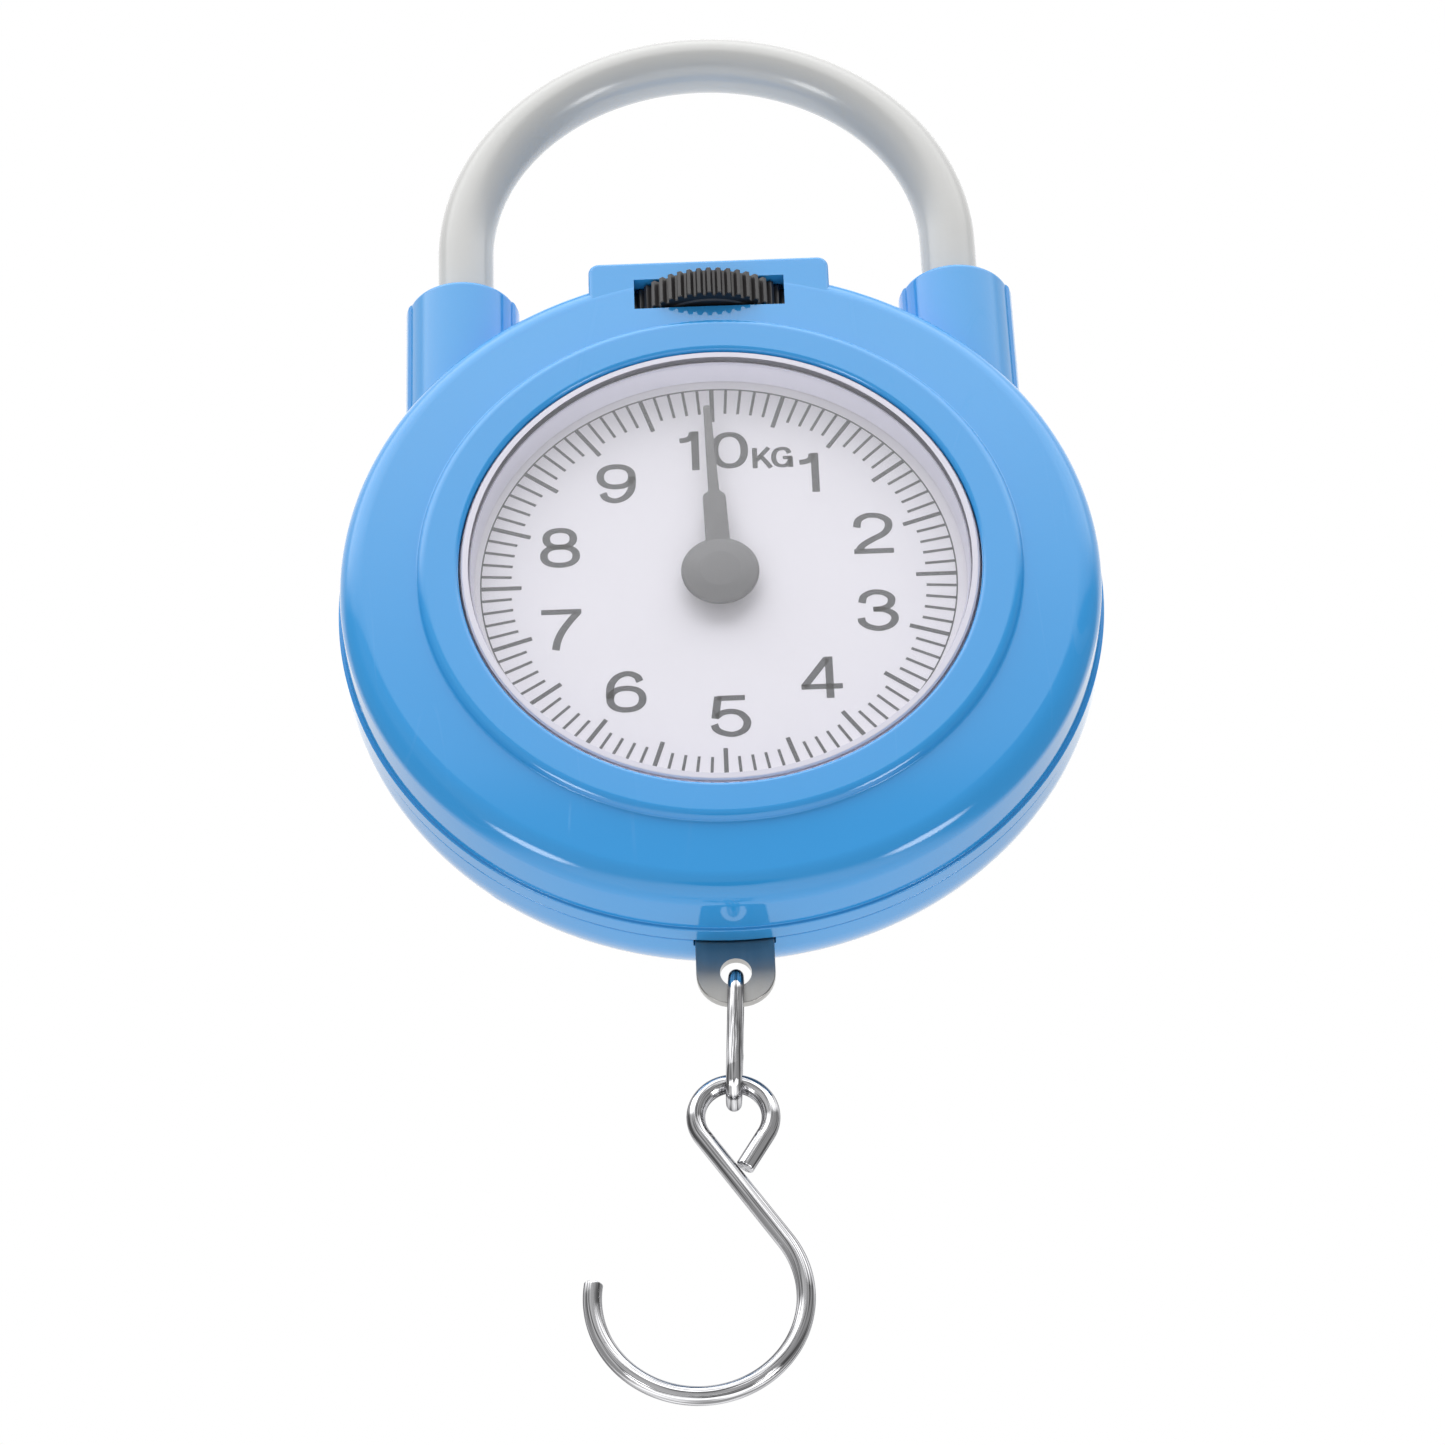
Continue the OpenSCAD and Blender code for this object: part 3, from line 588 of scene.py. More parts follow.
def wire_finish(tone):
    """Drawn and plated wire: lines run along it, from noise on the circle (cos v, sin v) that drifts slowly
    with u. Most of its base colour is painted reflection: dark and bright bands that run along the wire."""
    material, tree, shader, _ = new_finish("bright_wire")
    along = node(tree, "ShaderNodeUVMap", uv_map="along").outputs[0]
    u, v, _ = node(tree, "ShaderNodeSeparateXYZ", links={"Vector": along}).outputs
    angle = maths(tree, "MULTIPLY", v, 2 * math.pi / WIRE_SIDES)
    ring = node(tree, "ShaderNodeCombineXYZ", links={
        "X": maths(tree, "MULTIPLY", u, 0.006), "Y": maths(tree, "COSINE", angle),
        "Z": maths(tree, "SINE", angle)}).outputs[0]
    drawn = use_group(tree, "Drawn Metal", {"Vector": ring}, Colour=rgba(tone), Lines=4.5, Stretch=1.0,
        Roughness=0.07, Spread=0.12)
    # Painted reflection: a broad noise round the wire picks dark and bright bands that stand in for the chrome's
    # reflection stripes; the same noise also raises a real bump
    broad = noise(tree, ring, 4.6, 2.0, 0.6)
    light = remap(tree, broad, 0.42, 0.56, curve="SMOOTHSTEP")
    painted_dark_band, painted_bright_band = rgba([c * 0.3 for c in tone]), rgba([min(1.0, c * 1.9) for c in tone])
    painted_reflection_bands = mixed(tree, light, painted_dark_band, painted_bright_band)
    tree.links.new(mixed(tree, 0.75, drawn.outputs["Colour"], painted_reflection_bands), shader.inputs["Base Color"])
    tree.links.new(drawn.outputs["Roughness"], shader.inputs["Roughness"])
    shader.inputs["Metallic"].default_value = 1.0
    shader.inputs["Specular Tint"].default_value = (0.35, 0.35, 0.36, 1.0)
    height = maths(tree, "ADD", maths(tree, "MULTIPLY", drawn.outputs["Height"], 0.3), broad)
    bump(tree, shader, height, 0.8, 0.00006)
    return material


def clear_plastic():
    """Clear acrylic: smooth refraction with faint dust, and a way through for light that falls on what is
    behind it."""
    material, tree, shader, place = new_finish("clear_acrylic")
    shader.inputs["Transmission Weight"].default_value = 1.0
    shader.inputs["IOR"].default_value = 1.45
    shader.inputs["Base Color"].default_value = (0.985, 0.985, 1.0, 1.0)
    haze = remap(tree, noise(tree, place, 60.0, 3.0, 0.5), 0.5, 0.8, 0.0, 0.01)
    tree.links.new(haze, shader.inputs["Roughness"])
    path = tree.nodes.new("ShaderNodeLightPath")
    passing = maths(tree, "MAXIMUM", path.outputs["Is Shadow Ray"], path.outputs["Is Diffuse Ray"])
    through = node(tree, "ShaderNodeBsdfTransparent", {"Color": (0.96, 0.96, 0.98, 1.0)})
    both = node(tree, "ShaderNodeMixShader")
    tree.links.new(passing, both.inputs[0])
    tree.links.new(shader.outputs[0], both.inputs[1])
    tree.links.new(through.outputs[0], both.inputs[2])
    tree.links.new(both.outputs[0], tree.nodes["Material Output"].inputs["Surface"])
    return material


def make_finishes():
    """All materials by name, from the user's colours."""
    tones = bpy.context.scene.scale_colours
    moulded_skin_group(), hairlines_group(), drawn_metal_group()
    return {
        "shell": plastic("blue_gloss_plastic", tones.shell, 0.075, 0.04, 0.03, 1500.0, 0.000004, 0.10, 0.02,
        Specular_IOR_Level=0.55),
        "dial": plastic("printed_card", tones.dial, 0.5, 0.1, 0.012, 6000.0, 0.00001, 0.25),
        "ink": plastic("dial_ink", tones.ink, 0.55, 0.1, 0.25, 5000.0, 0.00001, 0.3),
        "pointer": plastic("grey_satin_plastic", tones.pointer, 0.36, 0.12, 0.16, 500.0, 0.000003, 0.02),
        "tube": plastic("grey_smooth_tube", tones.tube, 0.22, 0.08, 0.05, 700.0, 0.00003, 0.12,
        Coat_Weight=0.15, Coat_Roughness=0.1),
        "wheel": plastic("black_ribbed_plastic", tones.wheel, 0.36, 0.15, 0.3, 2500.0, 0.00002, 0.2),
        "nylon": plastic("natural_nylon", (0.75, 0.73, 0.68), 0.45, 0.1, 0.05, 1500.0, 0.00003, 0.2),
        "lens": clear_plastic(),
        # Painted light: the lens edge's opaque lavender-grey stands in for the light and shaded bands seen through
        # the clear acrylic
        "flange": plastic("lens_edge_painted_bands", (0.66, 0.65, 0.74), 0.4, 0.1, 0.03, 1500.0, 0.00002, 0.2),
        "wire": wire_finish(tones.steel),
        "sheet": metal("rolled_sheet", (0.35, 0.345, 0.335), 0.30, 0.18, 900.0, 1.0, 0.25, (1.0, 1.0, 0.04)),
        "plated": metal("zinc_plate", (0.62, 0.62, 0.64), 0.28, 0.2, 500.0, 0.3, 0.2),
        "spring": metal("spring_wire", (0.42, 0.42, 0.44), 0.24, 0.15, 800.0, 1.0, 0.2),
        "turned": metal("turned_steel", (0.66, 0.66, 0.67), 0.16, 0.12, 2500.0, 1.0, 0.15),
        "brass": metal("stamped_brass", (0.74, 0.55, 0.24), 0.26, 0.18, 700.0, 0.5, 0.2),
    }


FINISHES = {}


# ---- case ----

def front_profile():
    """Section of the front shell as (radius, depth): out over the lip, side and ring, then back inside."""
    case, front, wall = mm("case_radius"), mm("front_depth"), mm("wall")
    ring, window = mm("ring_radius"), mm("window_radius")
    flat = front - RING_RISE
    side = case - LIP_WIDE
    seat = DIAL_R + 0.2
    corners = [
        (case - 0.03, 0.1, 0.22), (case, LIP_DEEP, 0.2), (side - 0.02, LIP_DEEP + 0.05, 0.12),
        (side - 0.24, flat - 0.02, 3.1),
        (ring + 0.32, flat + 0.28, 0.28), (ring, front, 1.15), (window, front, 0.55),
        (window, DIAL_FACE + 1.5, 0.0),
        (seat, DIAL_FACE + 1.5, 0.0), (seat, DIAL_FACE + 0.1, 0.0), (33.6, DIAL_FACE + 0.1, 0.0),
        (33.6, flat - wall, 0.5),
        (case - 2.5, flat - wall, 1.6), (case - 2.2, 0.0, 0.0), (case - 0.55, 0.0, 0.0),
        (case - 0.55, 0.1, 0.0)]
    return softened(corners, 10) * [1, -1]


def tab_outline(grow=0.0, corner=1.3):
    """Tab with round top corners; its sides run down inside the round case."""
    half, top = TAB_HALF + grow, TAB_TOP + grow
    return softened(
        [(-half, TAB_BOTTOM, 0.6), (half, TAB_BOTTOM, 0.6), (half, top, corner), (-half, top, corner)], 8)


def boss_part(side, grow=0.0, top_grow=0.0):
    """Upright post with a rounded top edge."""
    r, top = mm("boss_radius") + grow, BOSS_TOP + top_grow
    profile = softened([(0, BOSS_BOTTOM, 0), (r, BOSS_BOTTOM, 0), (r, top, 0.8), (0, top, 0)], 8)
    return turned(profile, 160, "z", (side * BOSS_X, 0, 0))


def half_space(front):
    """Box that holds everything in front of, or behind, the parting plane."""
    y0, y1 = (-40.0, 0.0) if front else (0.0, 40.0)
    return box_tool(-80.0, 80.0, y0, y1, -60.0, 80.0)


def shell_base(name, profile, tab_front, tab_back, front):
    """Turned body joined with the tab and the two posts, which are cut at the parting plane."""
    shell = object_of(name, mesh_of(name, [turned(profile, TURN_STEPS)]))
    combine(shell, object_of("tool", slab_mesh("tool", tab_outline(), tab_back, tab_front, 0.6, 6)), "UNION")
    for side in (-1, 1):
        post = object_of("tool", mesh_of("tool", [boss_part(side)]))
        combine(post, half_space(front), "INTERSECT")
        combine(shell, post, "UNION")
    return shell


def hollow_out(shell, front):
    """Opens the room behind the tab and the posts, and bores the posts for the tube."""
    wall, depth = mm("wall"), (mm("front_depth") - RING_RISE if front else mm("back_depth"))
    half, top, low = TAB_HALF - wall, TAB_TOP - wall, 30.0
    inner = softened([(-half, low, 0), (half, low, 0), (half, top, 0.6), (-half, top, 0.6)], 4)
    y0, y1 = (-depth + wall, 1.0) if front else (-1.0, depth - wall)
    combine(shell, object_of("tool", slab_mesh("tool", inner, y1, y0)))
    for side in (-1, 1):
        drill(shell, mm("tube_radius") + 0.06, 31.0, 60.0, side * mm("handle_radius"), 0.0, "z")


class SCALE_OT_front_shell(bpy.types.Operator):
    """Front shell: a turned body with its lip, side, flat face and ring, joined with the wheel's tab and
    the halves of the handle posts"""
    bl_idname = "scale.front_shell"
    bl_label = "Front Shell"

    def execute(self, context):
        flat = mm("front_depth") - RING_RISE
        shell = shell_base("case_front", front_profile(), -flat, 0.0, True)
        lip = object_of("tool", slab_mesh("tool", tab_outline(LIP_WIDE, 2.3), 0.0, -LIP_DEEP, 0.15, 3))
        for side in (-1, 1):
            rim = object_of("tool", mesh_of("tool", [boss_part(side, 0.35, -0.3)]))
            combine(rim, box_tool(-80.0, 80.0, -LIP_DEEP, 0.0, -60.0, 80.0), "INTERSECT")
            combine(shell, rim, "UNION")
        combine(shell, lip, "UNION")
        hollow_out(shell, True)
        drill(shell, 33.0, -flat + mm("wall"), 1.0)
        low, high = WHEEL_Z0 - 0.3, WHEEL_Z0 + WHEEL_H + 0.2
        combine(shell, box_tool(-WHEEL_SLOT_HALF, WHEEL_SLOT_HALF, -flat - 2, -flat + 3, low, high))
        finish_piece(shell, "case", ["front_shell"], FINISHES["shell"])
        return {"FINISHED"}


class SCALE_OT_back_shell(bpy.types.Operator):
    """Back shell: a deep turned dish joined with the tab and posts, with four screw wells and the slot for
    the pull plate"""
    bl_idname = "scale.back_shell"
    bl_label = "Back Shell"

    def execute(self, context):
        case, deep, wall = mm("case_radius") - 0.15, mm("back_depth"), mm("wall")
        profile = softened([
            (0, deep, 0), (case, deep, 9.7), (case, 0.12, 0.16), (case - 0.7, 0.12, 0.0),
            (case - 0.7, 0.0, 0.0),
            (case - 2.0, 0.0, 0.0), (case - 1.8, deep - wall, 7.9), (0, deep - wall, 0)], 16)
        shell = shell_base("case_back", profile, 0.0, deep, False)
        for x, z in SCREWS:
            well = softened([(0, 0, 0), (3.6, 0, 0), (3.6, deep - 0.9, 0.2), (0, deep - 0.9, 0)], 3)
            combine(shell, object_of("tool", mesh_of("tool", [turned(well, 64, "y", (x, 0, z))])), "UNION")
        hollow_out(shell, False)
        for x, z in SCREWS:
            drill(shell, 2.8, 6.2, deep + 2, x, z)
        combine(shell, box_tool(-PLATE_SLOT_HALF, PLATE_SLOT_HALF, -1.0, 1.3, -47.0, -41.0))
        finish_piece(shell, "case", ["back_shell"], FINISHES["shell"])
        return {"FINISHED"}


class SCALE_OT_screws(bpy.types.Operator):
    """Case screws: a turned pan head over a ridged shank, with a cross recess"""
    bl_idname = "scale.case_screws"
    bl_label = "Case Screws"

    def execute(self, context):
        shank = np.linspace(-6.3, 6.2, 160)
        radius = 1.0 + 0.1 * np.clip(2.4 * np.cos(shank * 2 * np.pi / 0.95), -1, 1)
        radius[:8] = np.linspace(0.2, 1.0, 8)
        head = softened([(1.1, 6.2, 0), (2.4, 6.2, 0.12), (2.4, 7.6, 0.75), (0, 7.6, 0)], 6, False)
        profile = np.vstack([[(0, -6.3)], np.stack([radius, shank], 1), head])
        parts = [turned(profile, 48, "y", (x, 0, z), False) for x, z in SCREWS]
        piece = object_of("case_screw_set", mesh_of("case_screw_set", parts))
        for x, z in SCREWS:
            for wide, tall in ((1.5, 0.28), (0.28, 1.5)):
                combine(piece, box_tool(x - wide, x + wide, 6.9, 8.5, z - tall, z + tall))
        finish_piece(piece, "case", ["case_screws"], FINISHES["plated"])
        return {"FINISHED"}


# ---- dial, lens and pointer ----

class SCALE_OT_lens(bpy.types.Operator):
    """Lens: a clear turned cap, flat in front with a soft edge, on a skirt that holds down the dial"""
    bl_idname = "scale.lens"
    bl_label = "Lens"

    def execute(self, context):
        front, window = mm("front_depth") - 0.1, mm("window_radius")
        foot, thick, skirt, edge = DIAL_FACE + 0.05, 1.4, 29.5, window - 0.1
        corners = [
            (0, front - thick, 0), (skirt, front - thick, 0.3), (skirt - 0.5, foot, 0.15),
            (DIAL_R, foot, 0.1),
            (DIAL_R, DIAL_FACE + thick, 0.1), (edge, DIAL_FACE + thick, 0.15), (edge, front - 0.3, 0.2),
            (edge - 0.25, front - 0.3, 0.08), (edge - 0.35, front, 0.12), (skirt, front, 0), (0, front, 0)]
        piece = object_of("clear_lens", mesh_of("clear_lens", [turned(softened(corners, 8) * [1, -1], 256)]))
        finish_piece(piece, "case", ["lens"], FINISHES["lens"])
        # The rim and the foot of the skirt take the opaque lavender-grey finish: painted light and shade in place of
        # the bands seen through a clear edge
        piece.data.materials.append(FINISHES["flange"])
        centres = np.zeros(len(piece.data.polygons) * 3)
        piece.data.polygons.foreach_get("center", centres)
        x, y, z = centres.reshape(-1, 3).T / MM
        radius = np.hypot(x, z - DIAL_Z / MM)
        rim = (radius > skirt - 0.05) & (radius < edge - 0.2)
        satin = rim | (radius > skirt - 0.8) & (-y < front - thick - 0.15)
        piece.data.polygons.foreach_set("material_index", satin.astype(np.int32))
        return {"FINISHED"}


def stroke(points, wide, tall, closed=False, lift=0.03):
    """Inked line as a thin closed ribbon. Its half width in the direction n is |(wide * nx, tall * ny)|,
    as an
    oval pen's, so upright strokes are heavier than level ones."""
    p = np.asarray(points, float)
    along = np.roll(p, -1, 0) - np.roll(p, 1, 0) if closed else np.gradient(p, axis=0)
    n = np.stack([-along[:, 1], along[:, 0]], 1) / np.linalg.norm(along, axis=1)[:, None]
    reach = np.sqrt((wide * n[:, 0]) ** 2 + (tall * n[:, 1]) ** 2)[:, None]
    left, right = p + n * reach, p - n * reach
    bottom, top = -DIAL_FACE + 0.01, -DIAL_FACE - lift
    corner = [(left, bottom), (left, top), (right, top), (right, bottom)]
    points = np.stack([np.stack([q[:, 0], np.full(len(q), y), q[:, 1]], 1) for q, y in corner], 1)
    if not closed:
        first, last = points[:1].mean(1, keepdims=True), points[-1:].mean(1, keepdims=True)
        points = np.concatenate([np.repeat(first, 4, 1), points, np.repeat(last, 4, 1)])
    return grid_part(points, closed, True)


def numeral(character):
    """Centrelines of a number or letter in a box 4.8 wide and 5.75 high, as (points, closed)."""
    def ring(cy, rx, ry, power=2.25):
        a = np.linspace(0, 2 * np.pi, 48, endpoint=False)
        c, s = np.cos(a), np.sin(a)
        x, z = rx * np.sign(c) * np.abs(c) ** (2 / power), ry * np.sign(s) * np.abs(s) ** (2 / power)
        return np.stack([x, cy + z], 1), True

    def curve(*points):
        return spline(points), False

    def line(*points):
        return np.array(points), False

    six = [curve((1.62, 4.25), (1.25, 4.98), (0.2, 5.4), (-1.0, 4.95), (-1.75, 3.9), (-1.93, 2.6),
        (-1.9, 1.9)), ring(1.85, 1.9, 1.5)]
    shapes = {
        "0": [ring(2.875, 1.93, 2.525)],
        "1": [line((0.75, 0.0), (0.75, 2.9), (0.75, 5.75)),
        curve((-1.1, 4.42), (-0.45, 4.5), (0.1, 4.72), (0.4, 5.1), (0.5, 5.6))],
        "2": [curve((-1.85, 3.75), (-1.6, 4.75), (-0.75, 5.33), (0.1, 5.4), (1.0, 5.2), (1.78, 4.55),
        (1.8, 3.6), (1.2, 2.75), (0.0, 2.05), (-1.15, 1.3), (-1.75, 0.55)),
              line((-2.3, 0.36), (0.0, 0.36), (2.3, 0.36))],
        "3": [curve((-1.75, 3.95), (-1.5, 4.8), (-0.7, 5.32), (0.0, 5.4), (0.9, 5.2), (1.62, 4.55),
        (1.5, 3.65), (0.7, 3.12), (-0.5, 3.0)),
              curve((-0.4, 3.02), (0.8, 2.9), (1.75, 2.3), (1.9, 1.5), (1.3, 0.7), (0.1, 0.35),
              (-1.1, 0.65), (-1.8, 1.25), (-1.93, 1.85))],
        "4": [line((0.7, 5.5), (-0.7, 3.55), (-2.1, 1.6)), line((-2.4, 1.62), (0.0, 1.62), (2.45, 1.62)),
        line((0.95, 0.0), (0.95, 3.0), (0.95, 5.75))],
        "5": [line((-1.5, 5.38), (0.0, 5.38), (1.75, 5.38)), line((-1.38, 5.6), (-1.6, 4.1), (-1.8, 2.6)),
              curve((-1.75, 2.8), (-0.95, 3.35), (0.1, 3.52), (1.2, 3.15), (1.9, 2.1), (1.55, 0.95),
              (0.35, 0.36), (-0.85, 0.55), (-1.65, 1.05), (-1.95, 1.75))],
        "6": six,
        "7": [line((-2.35, 5.38), (0.0, 5.38), (2.4, 5.38)),
        curve((1.95, 5.2), (1.0, 4.0), (0.1, 2.6), (-0.45, 1.3), (-0.7, 0.0))],
        "8": [ring(4.18, 1.62, 1.22), ring(1.67, 1.93, 1.32)],
        "9": [(np.array([0.0, 5.75]) - points, closed) for points, closed in six],
        "K": [line((-1.75, 0.0), (-1.75, 2.9), (-1.75, 5.75)), line((1.55, 5.75), (0.0, 3.9), (-1.5, 2.1)),
        line((1.9, 0.0), (0.75, 1.8), (-0.5, 3.5))],
        "G": [curve((1.75, 4.0), (1.2, 5.05), (0.1, 5.35), (-1.2, 4.9), (-1.85, 3.6), (-1.85, 2.1),
        (-1.2, 0.85), (0.1, 0.4), (1.2, 0.8), (1.85, 1.9), (1.9, 2.6)),
              line((0.2, 2.75), (1.2, 2.75), (2.35, 2.75)), line((1.95, 0.0), (1.95, 1.3), (1.95, 2.9))],
    }
    return shapes[character]


class SCALE_OT_dial(bpy.types.Operator):
    """Dial: a thin card with a hole for the shaft, and its print as fine raised ink: a circle, a hundred
    marks and the numbers"""
    bl_idname = "scale.dial"
    bl_label = "Dial"

    def execute(self, context):
        hole, back = 2.0, DIAL_FACE - 0.6
        profile = softened(
            [(hole, DIAL_FACE, 0.05), (DIAL_R, DIAL_FACE, 0.1), (DIAL_R, back, 0.05), (hole, back, 0.05)], 3)
        card = object_of("dial_card", mesh_of("dial_card", [turned(profile * [1, -1], 192)]))
        finish_piece(card, "case", ["dial_plate"], FINISHES["dial"])
        rim = 28.05
        off_centre = np.array([-0.2, 0.0, -0.16])
        parts = [stroke(arc(0, 0, rim, 0, 360 - 1.25, 287), 0.085, 0.085, True)]
        for k in range(100):
            a = math.radians(90 - 3.6 * k)
            inner, pen = (23.25, 0.26) if k % 5 == 0 else (24.45, 0.17)
            ray = np.array([math.cos(a), math.sin(a)])
            parts.append(stroke(ray * np.linspace(inner, rim, 3)[:, None], pen, pen))
        size = mm("number_height") / 5.75
        for text, x, z, scale, pen in (
                ("1", -2.95, 19.05, 1.0, 0.45), ("0", 1.9, 18.95, 0.93, 0.45),
                ("K", 5.8, 17.65, 0.52, 0.30), ("G", 8.15, 17.65, 0.52, 0.30), ("1", 11.3, 15.25, 1.0, 0.45),
                ("2", 18.48, 6.1, 1.03, 0.45), ("3", 18.46, -4.9, 1.03, 0.45),
                ("4", 11.45, -14.03, 1.0, 0.45), ("5", 0.73, -18.9, 1.0, 0.45),
                ("6", -11.25, -15.04, 1.0, 0.45), ("7", -18.65, -6.07, 1.0, 0.45),
                ("8", -18.65, 5.58, 1.0, 0.45), ("9", -11.79, 14.6, 1.0, 0.45)):
            for points, closed in numeral(text):
                k = size * scale
                parts.append(stroke((points - [0, 2.875]) * k + [x, z], pen, pen * 0.76, closed))
        parts = [(points + off_centre, faces, uv) for points, faces, uv in parts]
        ink = object_of("dial_print", mesh_of("dial_print", parts))
        finish_piece(ink, "case", [], FINISHES["ink"])
        return {"FINISHED"}


class SCALE_OT_pointer(bpy.types.Operator):
    """Pointer: a low domed hub on its collar, with a broad neck that narrows to a long needle"""
    bl_idname = "scale.pointer"
    bl_label = "Pointer"

    def execute(self, context):
        hub = softened([
            (0, 6.55, 0), (1.9, 6.55, 0.2), (1.9, 7.55, 0.2), (4.6, 7.55, 0.15), (4.6, 8.05, 0.2),
            (4.3, 8.2, 0.5),
            (2.4, 8.45, 1.0), (0, 8.5, 0)], 5, False)
        neck = softened([
            (-1.5, 0.0, 0), (1.5, 0.0, 0), (1.36, 10.9, 0.9), (0.66, 11.35, 0.5), (0.43, 24.0, 0.38),
            (-0.43, 24.0, 0.38), (-0.66, 11.35, 0.5), (-1.36, 10.9, 0.9)], 7)
        short_of_zero = math.radians(-2.0)
        piece = object_of("pointer_plate",
            mesh_of("pointer_plate", [turned(hub * [1, -1], 128, closed=False)]))
        combine(piece, object_of("tool", slab_mesh("blade", neck, -7.65, -8.2, 0.16, 4)), "UNION")
        centre = Matrix.Translation((0, 0, DIAL_Z))
        piece.data.transform(centre @ Matrix.Rotation(short_of_zero, 4, "Y") @ centre.inverted())
        finish_piece(piece, "pointer_group", ["pointer"], FINISHES["pointer"])
        return {"FINISHED"}


# ---- wheel and handle ----

class SCALE_OT_wheel(bpy.types.Operator):
    """Zero wheel: its radius is the rim's minus a groove between ribs, in rows from the lower face to the
    hub"""
    bl_idname = "scale.wheel"
    bl_label = "Zero Wheel"

    def execute(self, context):
        ribs, high, r = 56, WHEEL_H, mm("wheel_radius")
        # One rib and groove: where its points lie in a pitch, and how deep they are
        step = np.array([0.0, 0.16, 0.2, 0.34, 0.38, 0.5, 0.62, 0.66, 0.8, 0.84])
        deep = np.array([0.0, 0.0, 0.05, 0.5, 0.55, 0.55, 0.55, 0.5, 0.05, 0.0])
        t = ((np.arange(ribs)[:, None] + step[None, :]) * 2 * np.pi / ribs).ravel()
        groove = np.tile(deep, ribs)
        rows = np.array([
            (4.0, 0.0, 0), (r - 1.6, 0.0, 0), (r - 1.35, 0.12, 0), (r - 0.75, 0.12, 0), (r - 0.1, 0.12, 1),
            (r, 0.22, 1),
            (r, high - 0.22, 1), (r - 0.1, high - 0.12, 1), (r - 0.75, high - 0.12, 0),
            (r - 1.35, high - 0.12, 0), (r - 1.6, high, 0),
            (4.3, high, 0), (4.0, high + 0.25, 0), (4.0, high + 0.75, 0), (3.85, high + HUB_RISE, 0),
            (2.05, high + HUB_RISE, 0), (2.05, 0.0, 0)])
        radius = rows[:, :1] - rows[:, 2:] * groove
        points = np.stack([radius * np.cos(t), WHEEL_Y + radius * np.sin(t),
            WHEEL_Z0 + rows[:, 1:2] + 0 * radius], -1)
        piece = object_of("zero_wheel_ribbed", mesh_of("zero_wheel_ribbed", [grid_part(points, True, True)]))
        finish_piece(piece, "wheel", ["zero_wheel"], FINISHES["wheel"], 25)
        return {"FINISHED"}


class SCALE_OT_handle(bpy.types.Operator):
    """Handle tube: a round wall carried up one leg, round the half circle of the arch and down the other,
    closed through its bore"""
    bl_idname = "scale.handle"
    bl_label = "Handle Tube"

    def execute(self, context):
        r, tube, bore, low = mm("handle_radius"), mm("tube_radius"), 1.27, 31.05
        top = TUBE_HIGH[2] - tube - r
        bend = arc(0, top, r, 180, 0, 120)
        left = np.stack([np.full(40, -r), np.linspace(low, top, 40, endpoint=False)], 1)
        path = np.vstack([left, bend, left[::-1] * [-1, 1]])
        path3 = np.stack([path[:, 0], np.zeros(len(path)), path[:, 1]], 1)
        along = np.gradient(path3, axis=0)
        along /= np.linalg.norm(along, axis=1)[:, None]
        side = np.array([0, 1.0, 0])
        across = np.cross(side, along)
        t = np.linspace(0, 2 * np.pi, 72, endpoint=False)
        ring = np.cos(t)[None, :, None] * across[:, None] + np.sin(t)[None, :, None] * side
        outer, inner = path3[:, None] + tube * ring, (path3[:, None] + bore * ring)[::-1]
        wall = grid_part(np.concatenate([outer, inner]), True, True)
        piece = object_of("handle_tube_smooth", mesh_of("handle_tube_smooth", [wall]))
        finish_piece(piece, "case", ["handle_tube"], FINISHES["tube"])
        return {"FINISHED"}


# ---- pull plate, link and hook ----

class SCALE_OT_pull_plate(bpy.types.Operator):
    """Pull plate: a stamped sheet, a cross bar inside the case and a tongue with a round end and a hole
    outside it"""
    bl_idname = "scale.pull_plate"
    bl_label = "Pull Plate"

    def execute(self, context):
        low, high, wide = PLATE_LOW[2], PLATE_HIGH[2], PLATE_HIGH[0]
        half, bar = 4.5, high - 4.5
        left = [(-wide, high, 1), (-wide, bar, 1), (-half - 2, bar, 0.4), (-half, bar - 2, 0.8),
            (-half, low, 4.0)]
        outline = softened(left + [(-x, z, r) for x, z, r in left[::-1]], 10)
        sheet = slab_mesh("pull_plate_sheet", outline, PLATE_HIGH[1], PLATE_LOW[1], 0.14, 3)
        piece = object_of("pull_plate_sheet", sheet)
        centre = bar + 2.25
        drill(piece, 1.8, -1.0, 3.0, 0.0, low + 4.0)
        for x, r in ((4.2, 1.0), (9.8, 1.0), (-16.0, 1.1), (16.0, 1.1)):
            drill(piece, r, -1.0, 3.0, x, centre)
        finish_piece(piece, "puller", ["pull_plate"], FINISHES["sheet"])
        return {"FINISHED"}


